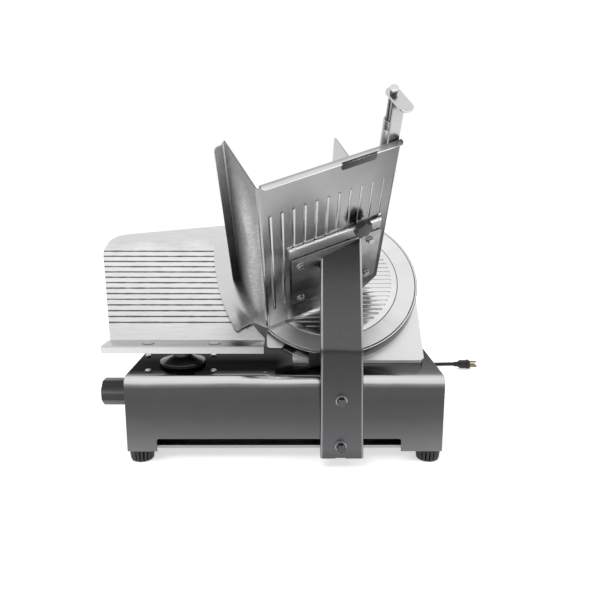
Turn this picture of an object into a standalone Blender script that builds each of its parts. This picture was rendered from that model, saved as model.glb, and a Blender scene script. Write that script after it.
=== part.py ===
"""Automatic meat slicer at rest: a sheet steel base on four feet, a tilted blade in its housing, a ribbed
thickness gauge on the left and a V-shaped product tray on a motor driven carriage. Metres, +Z up.

Places are given in the machine's own frame: X to the right from the middle of the base, Y away from the
user from the base's front face, Z up from the table. The blade frame is tilted about X, so that its local
X, Y and Z run along the blade's face, up its face and out of it. The tray frame is leaned from that about
the blade's axis: local X along the tray's floor, Y up its wall, Z away from the blade."""

import math

import bmesh
import bpy
import numpy as np

for thing in list(bpy.data.objects):
    bpy.data.objects.remove(thing, do_unlink=True)

# Fits used all over the machine
gap = 0.0003
running = 0.0005
overrun = 0.003
weld = 0.000001

# Base
base_width = 0.506
base_depth = 0.430
base_height = 0.124
base_wall = 0.002
base_round = 0.0137
slot_left = 0.2051
slot_right = 0.1865
slot_height = 0.0214
slot_chamfer = 0.004
floor_sheet = 0.002
floor_lip = 0.0047
floor_front = 0.0135
foot_height = 0.021
foot_radius = 0.0205
foot_waist = 0.0185
foot_in_x = 0.0185
foot_in_y = 0.022
foot_flute = 0.0012
foot_flutes = 20

base_bottom = foot_height + gap
base_top = base_bottom + base_height
half_base = base_width / 2
inner_x = half_base - base_wall
inner_top = base_top - base_wall
floor_top = base_bottom + floor_sheet

# Blade and its drive
tilt = math.radians(45)
blade_x = 0.080
blade_y = 0.1693
blade_rise = 0.1298
blade_radius = 0.150
blade_bevel = 0.012
blade_thick = 0.009
blade_hub_radius = 0.040
blade_hub_depth = 0.014
blade_bore = 0.010
blade_step = 0.0016
cover_radius = 0.1189
cover_top = 0.001
cover_bottom = 0.005
cover_rib_pitch = 0.009
cover_rib_cut = 0.0022
cover_groove = 0.0042
cover_rim = 0.009
spindle_flange_radius = 0.038
spindle_flange = 0.0047
spindle_radius = 0.0125
spindle_bore = 0.008
pulley_radius = 0.036
pulley_width = 0.016
pulley_depth = 0.058
motor_pulley_radius = 0.018
motor_x = 0.072
motor_rise = 0.020
motor_radius = 0.042
motor_front = 0.078
motor_length = 0.072
motor_shaft = 0.006
motor_bore_depth = 0.010
motor_foot_width = 0.050
motor_foot_front = 0.255
motor_foot_rear = 0.295
belt_thick = 0.0015
belt_slack = 0.002
rod_radius = 0.006
rod_nut_radius = 0.012
rod_nut_height = 0.0065
bearing_wall = 0.004
bearing_flange_radius = 0.042
bearing_flange = 0.0057
bearing_depth = 0.0155
strap_width = 0.016
strap_thick = 0.005
strap_clear = 0.007

blade_z = base_top + blade_rise
bearing_bore = spindle_radius + 0.0118

# Housing
plate_front = 0.024
plate_thick = 0.010
plate_chord = 0.098
plate_left = 0.0675
plate_toe_y = 0.0788
plate_corner = 0.012
plate_corner_drop = 0.150
plate_hole = 0.030
blade_to_ring = 0.0015
ring_width = 0.0035
ring_inner = blade_radius + blade_to_ring
plate_radius = ring_inner + ring_width
ring_front = 0.001
ring_start = math.radians(-136)
ring_end = math.radians(100)
tab_left = 0.112
tab_right = 0.083
tab_top = 0.099
tab_bottom = 0.136
tab_front = 0.010
tab_thick = 0.004
tab_round = 0.006
hood_left = 0.050
hood_right = 0.125
hood_wall = 0.003
hood_over_axle = 0.0361
hood_crown = 0.0311
hood_run = 0.060
hood_fall = 0.0612

# Buffer block under the guard ring, and the switch on the base's right wall
buffer_left = 0.0388
buffer_width = 0.036
buffer_front = 0.056
buffer_rise = 0.0062
buffer_height = 0.0175
switch_y = 0.180
switch_drop = 0.050
switch_width = 0.060
switch_height = 0.034
switch_depth = 0.010
switch_pocket = 0.007
button_size = 0.018
button_out = 0.002
button_in = 0.0025
button_share = 0.25

# Thickness gauge
gauge_tip = 0.4190
gauge_drop = 0.127
gauge_foot_in = 0.044
gauge_thick = 0.008
gauge_arc_radius = 0.159
gauge_arc_drop = 0.0127
gauge_clip = 0.115
gauge_height = 0.2655
groove_count = 14
groove_pitch = 0.012
groove_first = 0.0644
groove_width = 0.0022
groove_depth = 0.0012
groove_end = 0.165
bar_left = 0.303
bar_right = 0.0346
bar_front = 0.0404
bar_drop = 0.0125
bar_sheet = 0.003
bar_screw_radius = 0.0065
bar_screw_height = 0.0012
carrier_left = 0.215
carrier_right = 0.132
carrier_top = 0.2129
carrier_run = 0.015
carrier_foot = 0.0715
post_x = 0.1735
post_y = 0.0776
post_radius = 0.0165
post_rise = 0.0265
disc_radius = 0.0385
disc_height = 0.007
cone_height = 0.0075
gauge_travel = 0.018
slide_half_x = 0.031
slide_half_y = 0.025
slide_thick = 0.0174
guide_left = 0.232
guide_right = 0.105
guide_front = 0.030
guide_rear = 0.130
guide_thick = 0.022
guide_ledge = 0.0004
lug_thick = 0.007
lug_half = 0.010
nut_leg_front = 0.080
nut_leg_thick = 0.010
screw_radius = 0.0045
screw_length = 0.079
knob_y = 0.050
knob_drop = 0.0393
knob_radius = 0.0227
knob_length = 0.0465
knob_sides = 8
knob_shaft = 0.006
wheel_large = 0.014
wheel_small = 0.008

# Carriage and its drive
carriage_x = 0.088
carriage_left = 0.263
carriage_right = 0.069
slide_y = 0.070
slide_rise = 0.0407
slide_radius = 0.010
end_block = 0.016
end_grip_y = 0.016
end_grip_z = 0.020
end_web_front = 0.100
belt_y = 0.117
belt_rise = 0.0787
belt_width = 0.009
drive_radius = 0.018
drive_width = 0.010
drive_x = 0.205
drive_shaft = 0.004
drive_shaft_out = 0.023
end_plate_y = 0.128
end_plate = 0.004
end_plate_half = 0.020
end_plate_up = 0.019
end_plate_down = 0.022
drive_motor_radius = 0.028
drive_motor_length = 0.052
drive_motor_bore = 0.0105
rail_y = 0.152
rail_width = 0.018
rail_wall = 0.003
roller_radius = 0.009
roller_width = 0.015
roller_pin = 0.003
roller_rise = 0.0462
block_half = 0.045
block_front = 0.048
block_rear = 0.092
block_low = 0.0195
block_high = 0.0619
outrigger_half = 0.020
outrigger_thick = 0.013
outrigger_rear = 0.140
clamp_half = 0.012

# Tray arm outside the base
arm_front = 0.022
arm_sheet = 0.003
arm_depth = 0.019
arm_low = 0.019
arm_fold = 0.196
arm_lean = math.radians(15.2)
arm_reach = 0.200
arm_half_low = 0.034
arm_half_fold = 0.0325
arm_half_top = 0.0313
arm_shift_low = 0.0022
arm_shift_top = 0.00135
arm_notch = 0.008
arm_notch_height = 0.001
foot_bar_low = 0.0072
foot_bar_thick = 0.012
foot_bar_half = 0.025
upright_half = 0.027
upright_thick = 0.017
upright_low = 0.024
upright_high = 0.130
bolt_high = 0.1146
bolt_low = 0.0397
bolt_washer = 0.009
bolt_washer_thick = 0.002
bolt_head = 0.0074
bolt_head_height = 0.012
bolt_shank = 0.004
bolt_depth = 0.008

# Product tray
lean = math.radians(25)
tray_left = 0.110
tray_drop = 0.105
tray_clear = 0.003
sheet = 0.002
tray_start = 0.0028
floor_width = 0.206
floor_length = 0.3345
wall_corner = 0.327
floor_chamfer = 0.034
wall_height = 0.120
wall_length = 0.314
flange_width = 0.0165
flange_length = 0.306
flange_round = 0.008
lip_width = 0.0165
lip_inset = 0.003
lip_round = 0.006
rib_count = 11
rib_first = 0.0144
rib_pitch = 0.01741
rib_width = 0.0045
rib_depth = 0.0009
rib_low = 0.052
rib_high = 0.272
guard_thick = 0.0022
guard_reach = 0.2086
guard_side = 0.052
grip_left = 0.123
grip_right = 0.172
grip_drop = 0.013
grip_thick = 0.002
grip_corner = 0.004
bracket_left = 0.044
bracket_right = 0.196
bracket_low = 0.050
bracket_high = 0.166
bracket_thick = 0.005
bracket_bolt_in = 0.0140
bracket_bolt_off = 0.0180
bracket_bolt_radius = 0.006
bracket_bolt_height = 0.004

# Fence across the tray and its rail
rail_left = 0.040
rail_right = 0.194
rail_low = 0.1668
rail_high = 0.1895
rail_thick = 0.0035
stud_slot_left = 0.110
stud_slot_right = 0.192
stud_radius = 0.003
stud_up = 0.004
stud_f = 0.156
fence_f = 0.140
fence_height = 0.062
fence_low = 0.010
fence_high = 0.313
fence_corner = 0.005
fence_clear = 0.0025
fence_foot_width = 0.038
fence_foot_half = 0.022
fence_in = 0.040
fence_out = 0.012
star_radius = 0.0145
star_boss = 0.0065
star_height = 0.010
star_stand = 0.0095

# Pusher and its rod
push_f = 0.194
push_w = 0.0165
push_rod = 0.0055
push_rod_low = 0.024
push_neck = 0.004
push_nut = 0.0058
push_nut_height = 0.0095
lug_low = 0.028
lug_high = 0.038
strip_left = 0.188
strip_width = 0.016
strip_lap = 0.0645
strip_low = floor_length - strip_lap
strip_thick = 0.003
cap_beyond = 0.0595
cap_n = floor_length + cap_beyond
cap_thick = 0.003
cap_half = 0.0095
cap_up = 0.030
cap_down = 0.020
sleeve_radius = 0.0078
sleeve_low = 0.100
sleeve_clear = 0.049
sleeve_high = cap_n - sleeve_clear
collar_height = 0.014
hub_radius = 0.010
hub_height = 0.016
reach_w = 0.090
reach_thick = 0.008
reach_n = 0.012
plate_f_low = 0.012
plate_f_high = 0.085
plate_w_low = 0.008
plate_w_high = 0.095
plate_n_low = 0.058
plate_n = 0.010
hanger_left = 0.040
hanger_width = 0.016
hanger_w = 0.070
grip_f = 0.066
grip_radius = 0.012
grip_length = 0.044

# Power cord
cord_radius = 0.0045
gland_x = 0.120
gland_rise = 0.0287
gland_radius = 0.009
gland_nut = 0.006
gland_length = 0.032
gland_stub = 0.006
coil_x = 0.060
coil_y = 0.600
coil_radius = 0.0595
coil_turns = 4
coil_pitch = 0.0096
coil_points = 24
tie_thick = 0.0012
tie_width = 0.010
tie_clear = 0.0012
plug_x = 0.4136
plug_y = 0.522
plug_z = 0.012
plug_length = 0.0283
plug_width = 0.026
plug_height = 0.021
plug_neck_at = 1.6
plug_full_at = 2.3
prong_length = 0.0177
prong_width = 0.0063
prong_thick = 0.0015
prong_apart = 0.0127
earth_radius = 0.0024
earth_offset = 0.006

# Colour, roughness and metallic value of each finish
finishes = {
    "cast": ((0.74, 0.74, 0.73), 0.38, 1.0),
    "polished": ((0.62, 0.62, 0.62), 0.22, 1.0),
    "brushed": ((0.50, 0.50, 0.50), 0.32, 1.0),
    "dark_steel": ((0.075, 0.075, 0.078), 0.38, 0.85),
    "arm_steel": ((0.12, 0.12, 0.12), 0.42, 0.8),
    "black": ((0.012, 0.012, 0.013), 0.42, 0.0),
    "rubber": ((0.010, 0.010, 0.011), 0.75, 0.0),
    "motor": ((0.10, 0.11, 0.12), 0.5, 0.6),
    "red": ((0.40, 0.01, 0.01), 0.4, 0.0),
    "green": ((0.01, 0.16, 0.04), 0.4, 0.0),
    "white": ((0.72, 0.72, 0.72), 0.35, 0.0),
}

round_steps = 40
small_steps = 24
upright = (0, 0, 0)
along_x = (0, math.pi / 2, 0)
along_y = (-math.pi / 2, 0, 0)
planes = {"XY": (0, 1, 2), "YZ": (1, 2, 0), "XZ": (0, 2, 1)}


def frame(name, at, turn=upright, parent=None):
    """An empty that carries pieces: a tilted frame, or a moving body's origin on its joint axis."""
    empty = bpy.data.objects.new(name, None)
    bpy.context.scene.collection.objects.link(empty)
    empty.location, empty.rotation_euler, empty.parent = at, turn, parent
    return empty


def settle(name, shape, parent, finish, at, turn, round_piece=False):
    """The object of a finished bmesh, welded, facing out, with its own material."""
    bmesh.ops.remove_doubles(shape, verts=shape.verts, dist=weld)
    bmesh.ops.recalc_face_normals(shape, faces=shape.faces)
    mesh = bpy.data.meshes.new(name)
    shape.to_mesh(mesh)
    shape.free()
    if round_piece:
        mesh.shade_smooth()
        mesh.set_sharp_from_angle(angle=math.radians(32))
    obj = bpy.data.objects.new(name, mesh)
    bpy.context.scene.collection.objects.link(obj)
    obj.location, obj.rotation_euler, obj.parent = at, turn, parent
    colour(obj, finish)
    return obj


def colour(obj, finish):
    material = bpy.data.materials.new(obj.name + "_finish")
    material.use_nodes = True
    shader = material.node_tree.nodes["Principled BSDF"]
    tint, roughness, metallic = finishes[finish]
    shader.inputs["Base Color"].default_value = (*tint, 1)
    shader.inputs["Roughness"].default_value = roughness
    shader.inputs["Metallic"].default_value = metallic
    obj.data.materials.append(material)


def slab(name, outline, low, high, plane, parent, finish="cast", at=upright, turn=upright):
    """A flat outline drawn in a plane and extruded along that plane's normal from low to high."""
    shape = bmesh.new()
    order = planes[plane]
    corners = []
    for point in outline:
        place = [0.0, 0.0, 0.0]
        place[order[0]], place[order[1]], place[order[2]] = point[0], point[1], low
        corners.append(shape.verts.new(place))
    face = shape.faces.new(corners)
    raised = bmesh.ops.extrude_face_region(shape, geom=[face])
    lift = [0.0, 0.0, 0.0]
    lift[order[2]] = high - low
    moved = [item for item in raised["geom"] if isinstance(item, bmesh.types.BMVert)]
    bmesh.ops.translate(shape, verts=moved, vec=lift)
    return settle(name, shape, parent, finish, at, turn)


def block(name, x, y, z, parent, finish="cast"):
    """A rectangular block between two values on each axis."""
    outline = [(x[0], y[0]), (x[1], y[0]), (x[1], y[1]), (x[0], y[1])]
    return slab(name, outline, z[0], z[1], "XY", parent, finish)


def blocks(name, places, parent, finish="cast"):
    """Several separate blocks in one mesh, for a row of cuts or of small bosses."""
    shape = bmesh.new()
    for x, y, z in places:
        low, high = (x[0], y[0], z[0]), (x[1], y[1], z[1])
        made = bmesh.ops.create_cube(shape, size=1)["verts"]
        for vert in made:
            vert.co = [(a + b) / 2 + side * (b - a) for a, b, side in zip(low, high, vert.co)]
    return settle(name, shape, parent, finish, upright, upright)


def turned(name, profile, parent, finish="brushed", at=upright, turn=upright, steps=round_steps):
    """A profile of (radius, height) turned round local Z. One that starts and ends on the axis is solid."""
    shape = bmesh.new()
    points = [shape.verts.new((radius, 0, height)) for radius, height in profile]
    edges = [shape.edges.new(pair) for pair in zip(points, points[1:])]
    if min(profile[0][0], profile[-1][0]) > 0:
        edges.append(shape.edges.new((points[-1], points[0])))
    bmesh.ops.spin(shape, geom=points + edges, axis=(0, 0, 1), cent=upright, steps=steps,
                   angle=2 * math.pi, use_merge=True)
    return settle(name, shape, parent, finish, at, turn, True)


def peg(name, radius, low, high, parent, at=upright, turn=upright, finish="brushed", steps=small_steps):
    return turned(name, [(0, low), (radius, low), (radius, high), (0, high)], parent, finish, at, turn, steps)


def skin(name, loops, parent, finish):
    """A closed solid between outlines of equal count, one after the other, with both ends filled."""
    shape = bmesh.new()
    rows = [[shape.verts.new(point) for point in loop] for loop in loops]
    for low, high in zip(rows, rows[1:]):
        for i in range(len(low)):
            j = (i + 1) % len(low)
            shape.faces.new((low[i], low[j], high[j], high[i]))
    shape.faces.new(rows[0])
    shape.faces.new(rows[-1])
    return settle(name, shape, parent, finish, upright, upright)


def combine(target, tool, how="DIFFERENCE"):
    """Cuts a tool from a piece, or joins it on. The tool itself is only a guide."""
    tool.hide_render = True
    tool.display_type = "WIRE"
    step = target.modifiers.new(tool.name, "BOOLEAN")
    step.operation, step.solver, step.object = how, "EXACT", tool


def join(target, tool):
    combine(target, tool, "UNION")


def arc(x, y, radius, start, end, steps=8):
    """Points on an arc round (x, y), angles in radians."""
    turns = [start + (end - start) * i / steps for i in range(steps + 1)]
    return [(x + radius * math.cos(a), y + radius * math.sin(a)) for a in turns]


def degrees(*angles):
    return [math.radians(angle) for angle in angles]


def waves(radius, depth, count, fineness=2):
    """A round outline with count flutes."""
    outline = []
    for i in range(count * fineness):
        angle = 2 * math.pi * i / (count * fineness)
        r = radius - depth * (0.5 - 0.5 * math.cos(count * angle))
        outline.append((r * math.cos(angle), r * math.sin(angle)))
    return outline


# The machine stands with the middle of its outer box over the origin
cos_lean, sin_lean = math.cos(lean), math.sin(lean)
cos_tilt, sin_tilt = math.cos(tilt), math.sin(tilt)
reach_left = gauge_tip - blade_x
lip_corner_f = lip_inset + lip_round
lip_corner_w = -lip_width + lip_round
corner_y = blade_y - cos_tilt * tray_drop - sin_tilt * tray_clear
slope_y = cos_tilt * math.hypot(sin_lean, cos_lean)
reach_front = (corner_y + cos_tilt * (sin_lean * lip_corner_f + cos_lean * lip_corner_w)
               - sin_tilt * floor_length - slope_y * lip_round)
reach_right = half_base + gap + switch_depth + button_out
shift_x = (reach_left - reach_right) / 2
shift_y = -(reach_front + base_depth) / 2

machine = frame("machine", (shift_x, shift_y, 0))
blade_frame = frame("blade_frame", (blade_x, blade_y, blade_z), (tilt, 0, 0), machine)


def base_outline(inset, low):
    """The base's section from front to rear, its two long top edges rounded."""
    radius, top = base_round - inset, base_top - inset
    quarter, half = math.pi / 2, math.pi
    return ([(inset, low)] + arc(inset + radius, top - radius, radius, half, quarter)
            + arc(base_depth - inset - radius, top - radius, radius, quarter, 0)
            + [(base_depth - inset, low)])


# Base shell, open below
base_shell = slab("base_shell", base_outline(0, base_bottom), -half_base, half_base, "YZ", machine,
                  "dark_steel")
combine(base_shell, slab("base_hollow", base_outline(base_wall, base_bottom - overrun), -inner_x, inner_x,
                         "YZ", machine))
slot_top = base_bottom + slot_height
slot_outline = [(-slot_left, base_bottom - overrun), (-slot_left, slot_top - slot_chamfer),
                (-slot_left + slot_chamfer, slot_top), (slot_right - slot_chamfer, slot_top),
                (slot_right, slot_top - slot_chamfer), (slot_right, base_bottom - overrun)]
combine(base_shell, slab("cut_front_slot", slot_outline, -overrun, base_wall + overrun, "XZ", machine))
post_slot = post_radius + running
quarter_turns = degrees(0, 180, 360)
post_outline = (arc(-post_x, post_y + gauge_travel, post_slot, *quarter_turns[:2], steps=12)
                + arc(-post_x, post_y, post_slot, *quarter_turns[1:], steps=12))
combine(base_shell, slab("cut_post_slot", post_outline, inner_top - overrun, base_top + overrun, "XY",
                         machine))
knob_z = base_top - knob_drop
combine(base_shell, peg("cut_knob_hole", knob_shaft + running, -overrun, base_wall + overrun, machine,
                        (-half_base, knob_y, knob_z), along_x))
gland_z = base_bottom + gland_rise
combine(base_shell, peg("cut_gland_hole", gland_stub + gap, -overrun, base_wall + overrun, machine,
                        (-gland_x, base_depth - base_wall, gland_z), along_y))

# Bottom plate with its front lip, between the walls
plate_rear = base_depth - base_wall - gap
lip_top = base_bottom + floor_lip
slab("bottom_plate", [(floor_front, base_bottom), (plate_rear, base_bottom), (plate_rear, floor_top),
                      (floor_front + floor_sheet, floor_top), (floor_front + floor_sheet, lip_top),
                      (floor_front, lip_top)], -inner_x + gap, inner_x - gap, "YZ", machine, "brushed")

# Fluted rubber feet
foot_x = half_base - foot_in_x
for side, x in (("left", -foot_x), ("right", foot_x)):
    for end, y in (("front", foot_in_y), ("rear", base_depth - foot_in_y)):
        crown = [(a, b, foot_height) for a, b in waves(foot_radius, foot_flute, foot_flutes)]
        sole = [(a, b, 0) for a, b in waves(foot_waist, foot_flute, foot_flutes)]
        foot = skin(f"foot_{end}_{side}", [sole, crown], machine, "rubber")
        foot.location = (x, y, 0)

# Housing plate behind the blade: a disc with a skirt down to the base top, cut off on the cutting side
plate_bottom = -(blade_rise / cos_tilt) + overrun
skirt = (arc(0, 0, plate_radius, *degrees(0, 129), steps=24)
         + [(-plate_chord, plate_radius * math.sin(math.acos(plate_chord / plate_radius))),
            (-plate_chord, -plate_radius * math.sin(math.acos(plate_chord / plate_radius)))]
         + arc(0, 0, plate_radius, *degrees(-129, -116), steps=3)
         + [(-plate_left, plate_bottom - plate_thick)]
         + [(plate_radius - plate_corner, plate_bottom - plate_thick),
            (plate_radius - plate_corner, -plate_corner_drop)]
         + arc(plate_radius - plate_corner, -plate_corner_drop + plate_corner, plate_corner,
               *degrees(-90, 0), steps=5))
housing = slab("housing_plate", skirt, -plate_front - plate_thick, -plate_front, "XY", blade_frame, "cast")
foot_face = base_top + gap
below = [(-base_depth, foot_face - base_height), (base_depth, foot_face - base_height),
         (base_depth, foot_face), (plate_toe_y, foot_face), (plate_toe_y, blade_z), (-base_depth, blade_z)]
combine(housing, slab("cut_below_plate", below, -half_base, half_base, "YZ", machine))
combine(housing, peg("cut_plate_hole", plate_hole, -overrun, plate_thick + overrun, blade_frame,
                     (0, 0, -plate_front - plate_thick), steps=round_steps))

# Hood over the motor and pulleys behind the plate
back = blade_z - blade_y - (plate_front + plate_thick + gap) / cos_tilt
hood_rise = blade_z + hood_over_axle
hood_ridge_y = hood_rise - back + hood_crown
hood_rear, hood_shoulder = hood_ridge_y + hood_run, hood_rise - hood_fall
hood_outline = [(foot_face - back, foot_face), (hood_rise - back, hood_rise), (hood_ridge_y, hood_rise),
                (hood_rear, hood_shoulder), (hood_rear, foot_face)]
hood = slab("motor_cover", hood_outline, blade_x - hood_left, blade_x + hood_right, "YZ", machine, "cast")
hood_top, hood_back = hood_rise - hood_wall, hood_rear - hood_wall
hood_low = foot_face - hood_wall * 2
hollow = [(hood_low - back - hood_wall * 2, hood_low), (hood_top - back - hood_wall * 2, hood_top),
          (hood_ridge_y - hood_wall / 2, hood_top), (hood_back, hood_shoulder - hood_wall / 2),
          (hood_back, hood_low)]
combine(hood, slab("cut_hood", hollow, blade_x - hood_left + hood_wall, blade_x + hood_right - hood_wall,
                   "YZ", machine))

# Guard ring round the blade's idle side, with the bolted tab at its lower end
ring_outline = (arc(0, 0, plate_radius, ring_start, ring_end, steps=56)
                + arc(0, 0, ring_inner, ring_end, ring_start, steps=56))
ring = slab("blade_guard", ring_outline, -plate_front + gap, -ring_front, "XY", blade_frame, "cast")
tab_outline = ([(-tab_right, -tab_top), (-tab_left, -tab_top)]
               + arc(-tab_left + tab_round, -tab_bottom + tab_round, tab_round, *degrees(180, 270), steps=4)
               + arc(-tab_right - tab_round, -tab_bottom + tab_round, tab_round, *degrees(270, 360), steps=4))
tab = slab("guard_tab_shape", tab_outline, -tab_front - tab_thick, -tab_front, "XY", blade_frame)
combine(tab, peg("cut_tab_round", ring_inner + gap, -plate_front, 0, blade_frame, steps=96))
join(ring, tab)

# Blade: hollow ground knife, turning on its spindle
blade_turn = frame("blade_turn", upright, upright, blade_frame)
rim_in = blade_radius - blade_bevel
blade = turned("blade", [
    (blade_bore, -cover_bottom - blade_step / 2), (cover_radius + running, -cover_bottom - blade_step / 2),
    (cover_radius + running * 2, -blade_step), (blade_radius, 0), (blade_radius, -blade_step / 4),
    (rim_in, -blade_thick / 2), (cover_radius, -blade_thick), (blade_hub_radius * 2, -blade_thick - running),
    (blade_hub_radius, -blade_hub_depth), (blade_bore, -blade_hub_depth)], blade_turn, "polished",
    steps=72)
flange_back = -blade_hub_depth - gap - spindle_flange
turned("spindle", [
    (spindle_bore, -blade_hub_depth - gap), (spindle_flange_radius, -blade_hub_depth - gap),
    (spindle_flange_radius, flange_back), (spindle_radius, flange_back), (spindle_radius, -pulley_depth),
    (pulley_radius, -pulley_depth), (pulley_radius, -pulley_depth - pulley_width),
    (spindle_bore, -pulley_depth - pulley_width)], blade_turn, "brushed")

# Ribbed cover in the blade's hollow, held by a rod through the spindle
cover = slab("blade_cover", arc(0, 0, cover_radius, 0, 2 * math.pi, steps=72)[:-1], -cover_bottom, -cover_top,
             "XY", blade_frame, "polished")
cover_places = []
rib_span = cover_radius - cover_rim
for i in range(-int(rib_span / cover_rib_pitch), int(rib_span / cover_rib_pitch) + 1):
    level = i * cover_rib_pitch
    half = math.sqrt(rib_span ** 2 - level ** 2)
    if half > cover_rim:
        cover_places.append(((-half, half), (level - cover_groove / 2, level + cover_groove / 2),
                             (-cover_top - cover_rib_cut, overrun)))
combine(cover, blocks("cut_cover_ribs", cover_places, blade_frame))
pulley_back = pulley_depth + pulley_width
strap_back = pulley_back + strap_clear + strap_thick
turned("cover_rod", [
    (0, -cover_bottom - gap), (rod_radius, -cover_bottom - gap), (rod_radius, -strap_back - gap),
    (rod_nut_radius, -strap_back - gap), (rod_nut_radius, -strap_back - rod_nut_height),
    (0, -strap_back - rod_nut_height)], blade_frame, "brushed", steps=small_steps)

# Bearing housing behind the plate, with the strap that carries the cover rod
plate_back = plate_front + plate_thick
barrel_back = plate_back + gap + bearing_flange + bearing_depth
bearing_housing = turned("bearing_housing", [
    (bearing_bore, -plate_back - gap), (bearing_flange_radius, -plate_back - gap),
    (bearing_flange_radius, -plate_back - gap - bearing_flange),
    (bearing_bore + bearing_wall, -plate_back - gap - bearing_flange),
    (bearing_bore + bearing_wall, -barrel_back), (bearing_bore, -barrel_back)], blade_frame, "motor")
strap_out = bearing_flange_radius + strap_thick + running * 6
strap_in = strap_out - strap_thick
flange_mid = plate_back + gap + bearing_flange / 2
strap_outline = [(-strap_out, -strap_back), (strap_out, -strap_back), (strap_out, -flange_mid),
                 (-strap_out, -flange_mid)]
strap = slab("strap_shape", strap_outline, -strap_width / 2, strap_width / 2, "YZ", blade_frame)
strap_hollow = [(-strap_in, -strap_back + strap_thick), (strap_in, -strap_back + strap_thick),
                (strap_in, -plate_back - gap - bearing_flange - gap),
                (-strap_in, -plate_back - gap - bearing_flange - gap)]
combine(strap, slab("cut_strap", strap_hollow, -strap_width, strap_width, "YZ", blade_frame))
combine(strap, peg("cut_strap_hole", rod_radius + running, -strap_back - overrun, -barrel_back, blade_frame))
combine(strap, peg("cut_strap_bore", bearing_bore + running, -plate_back - bearing_flange * 2, 0,
                   blade_frame))
join(bearing_housing, strap)
bearing_seat = plate_back + bearing_wall / 2
turned("blade_bearing", [
    (spindle_radius + gap, -bearing_seat), (bearing_bore - gap, -bearing_seat),
    (bearing_bore - gap, -barrel_back + bearing_wall / 2),
    (spindle_radius + gap, -barrel_back + bearing_wall / 2)], blade_frame, "brushed")

# Blade motor on its foot, its pulley and the belt
motor_at = (motor_x, motor_rise, 0)
motor_turn = frame("motor_turn", motor_at, upright, blade_frame)
bore_end = motor_front + motor_bore_depth
motor = turned("blade_motor", [
    (0, -bore_end), (motor_shaft + gap, -bore_end), (motor_shaft + gap, -motor_front),
    (motor_radius, -motor_front), (motor_radius, -motor_front - motor_length),
    (0, -motor_front - motor_length)], blade_frame, "motor", motor_at, steps=48)
motor_world_x = blade_x + motor_x
motor_foot = block("motor_foot_shape", (motor_world_x - motor_foot_width / 2,
                                        motor_world_x + motor_foot_width / 2),
                   (motor_foot_front, motor_foot_rear), (foot_face, foot_face + motor_radius), machine)
join(motor, motor_foot)
turned("motor_pulley", [
    (0, -pulley_depth), (motor_pulley_radius, -pulley_depth), (motor_pulley_radius, -pulley_back),
    (motor_shaft, -pulley_back), (motor_shaft, -bore_end + overrun), (0, -bore_end + overrun)],
    motor_turn, "brushed", steps=32)


def belt_loop(ends, extra, steps=20):
    """The outline round two circles of (x, y, radius), the second lying away from the first."""
    (x1, y1, r1), (x2, y2, r2) = ends
    heading = math.atan2(y2 - y1, x2 - x1)
    spread = math.acos((r1 - r2) / math.hypot(x2 - x1, y2 - y1))
    return (arc(x2, y2, r2 + extra, heading - spread, heading + spread, steps)
            + arc(x1, y1, r1 + extra, heading + spread, heading - spread + 2 * math.pi, steps))


blade_ends = ((0, 0, pulley_radius), (motor_x, motor_rise, motor_pulley_radius))
blade_belt = slab("blade_belt", belt_loop(blade_ends, gap + belt_thick), -pulley_back + belt_slack,
                  -pulley_depth - belt_slack, "XY", blade_frame, "rubber")
combine(blade_belt, slab("cut_blade_belt", belt_loop(blade_ends, gap), -pulley_back - overrun, 0, "XY",
                         blade_frame))

# Slide rod, end brackets and guide rail inside the base
slide_z = base_bottom + slide_rise
peg("slide_rod", slide_radius, -inner_x + gap, inner_x - gap, machine, (0, slide_y, slide_z), along_x)
belt_z = base_bottom + belt_rise
plate_back_y = end_plate_y + end_plate
for side, sign in (("left", -1), ("right", 1)):
    outer = sign * (inner_x - gap)
    inner = outer - sign * end_block
    low, grip_top = floor_top + gap, slide_z + end_grip_z
    outline = [(slide_y - end_grip_y, low), (plate_back_y + overrun / 2, low),
               (plate_back_y + overrun / 2, belt_z + end_plate_up + overrun / 3),
               (end_web_front, belt_z + end_plate_up + overrun / 3), (end_web_front, grip_top),
               (slide_y - end_grip_y, grip_top)]
    bracket = slab(f"end_bracket_{side}", outline, min(outer, inner), max(outer, inner), "YZ", machine,
                   "motor")
    ends = sorted((sign * (drive_x - end_plate_half), inner + sign * end_plate))
    join(bracket, block(f"end_plate_shape_{side}", ends, (end_plate_y, plate_back_y),
                        (belt_z - end_plate_down, belt_z + end_plate_up), machine))
    combine(bracket, peg(f"cut_rod_seat_{side}", slide_radius + gap, -half_base, half_base, machine,
                         (0, slide_y, slide_z), along_x))
    combine(bracket, peg(f"cut_pulley_seat_{side}", drive_shaft + running, -overrun, end_plate + overrun,
                         machine, (sign * drive_x, end_plate_y, belt_z), along_y))
rail_top = base_bottom + roller_rise - roller_radius - gap
half_rail = rail_width / 2
slab("guide_rail", [
    (rail_y - half_rail, floor_top + gap), (rail_y - half_rail + rail_wall, floor_top + gap),
    (rail_y - half_rail + rail_wall, rail_top - rail_wall),
    (rail_y + half_rail - rail_wall, rail_top - rail_wall),
    (rail_y + half_rail - rail_wall, floor_top + gap), (rail_y + half_rail, floor_top + gap),
    (rail_y + half_rail, rail_top), (rail_y - half_rail, rail_top)], -inner_x + gap, inner_x - gap, "YZ",
    machine, "brushed")

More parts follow.
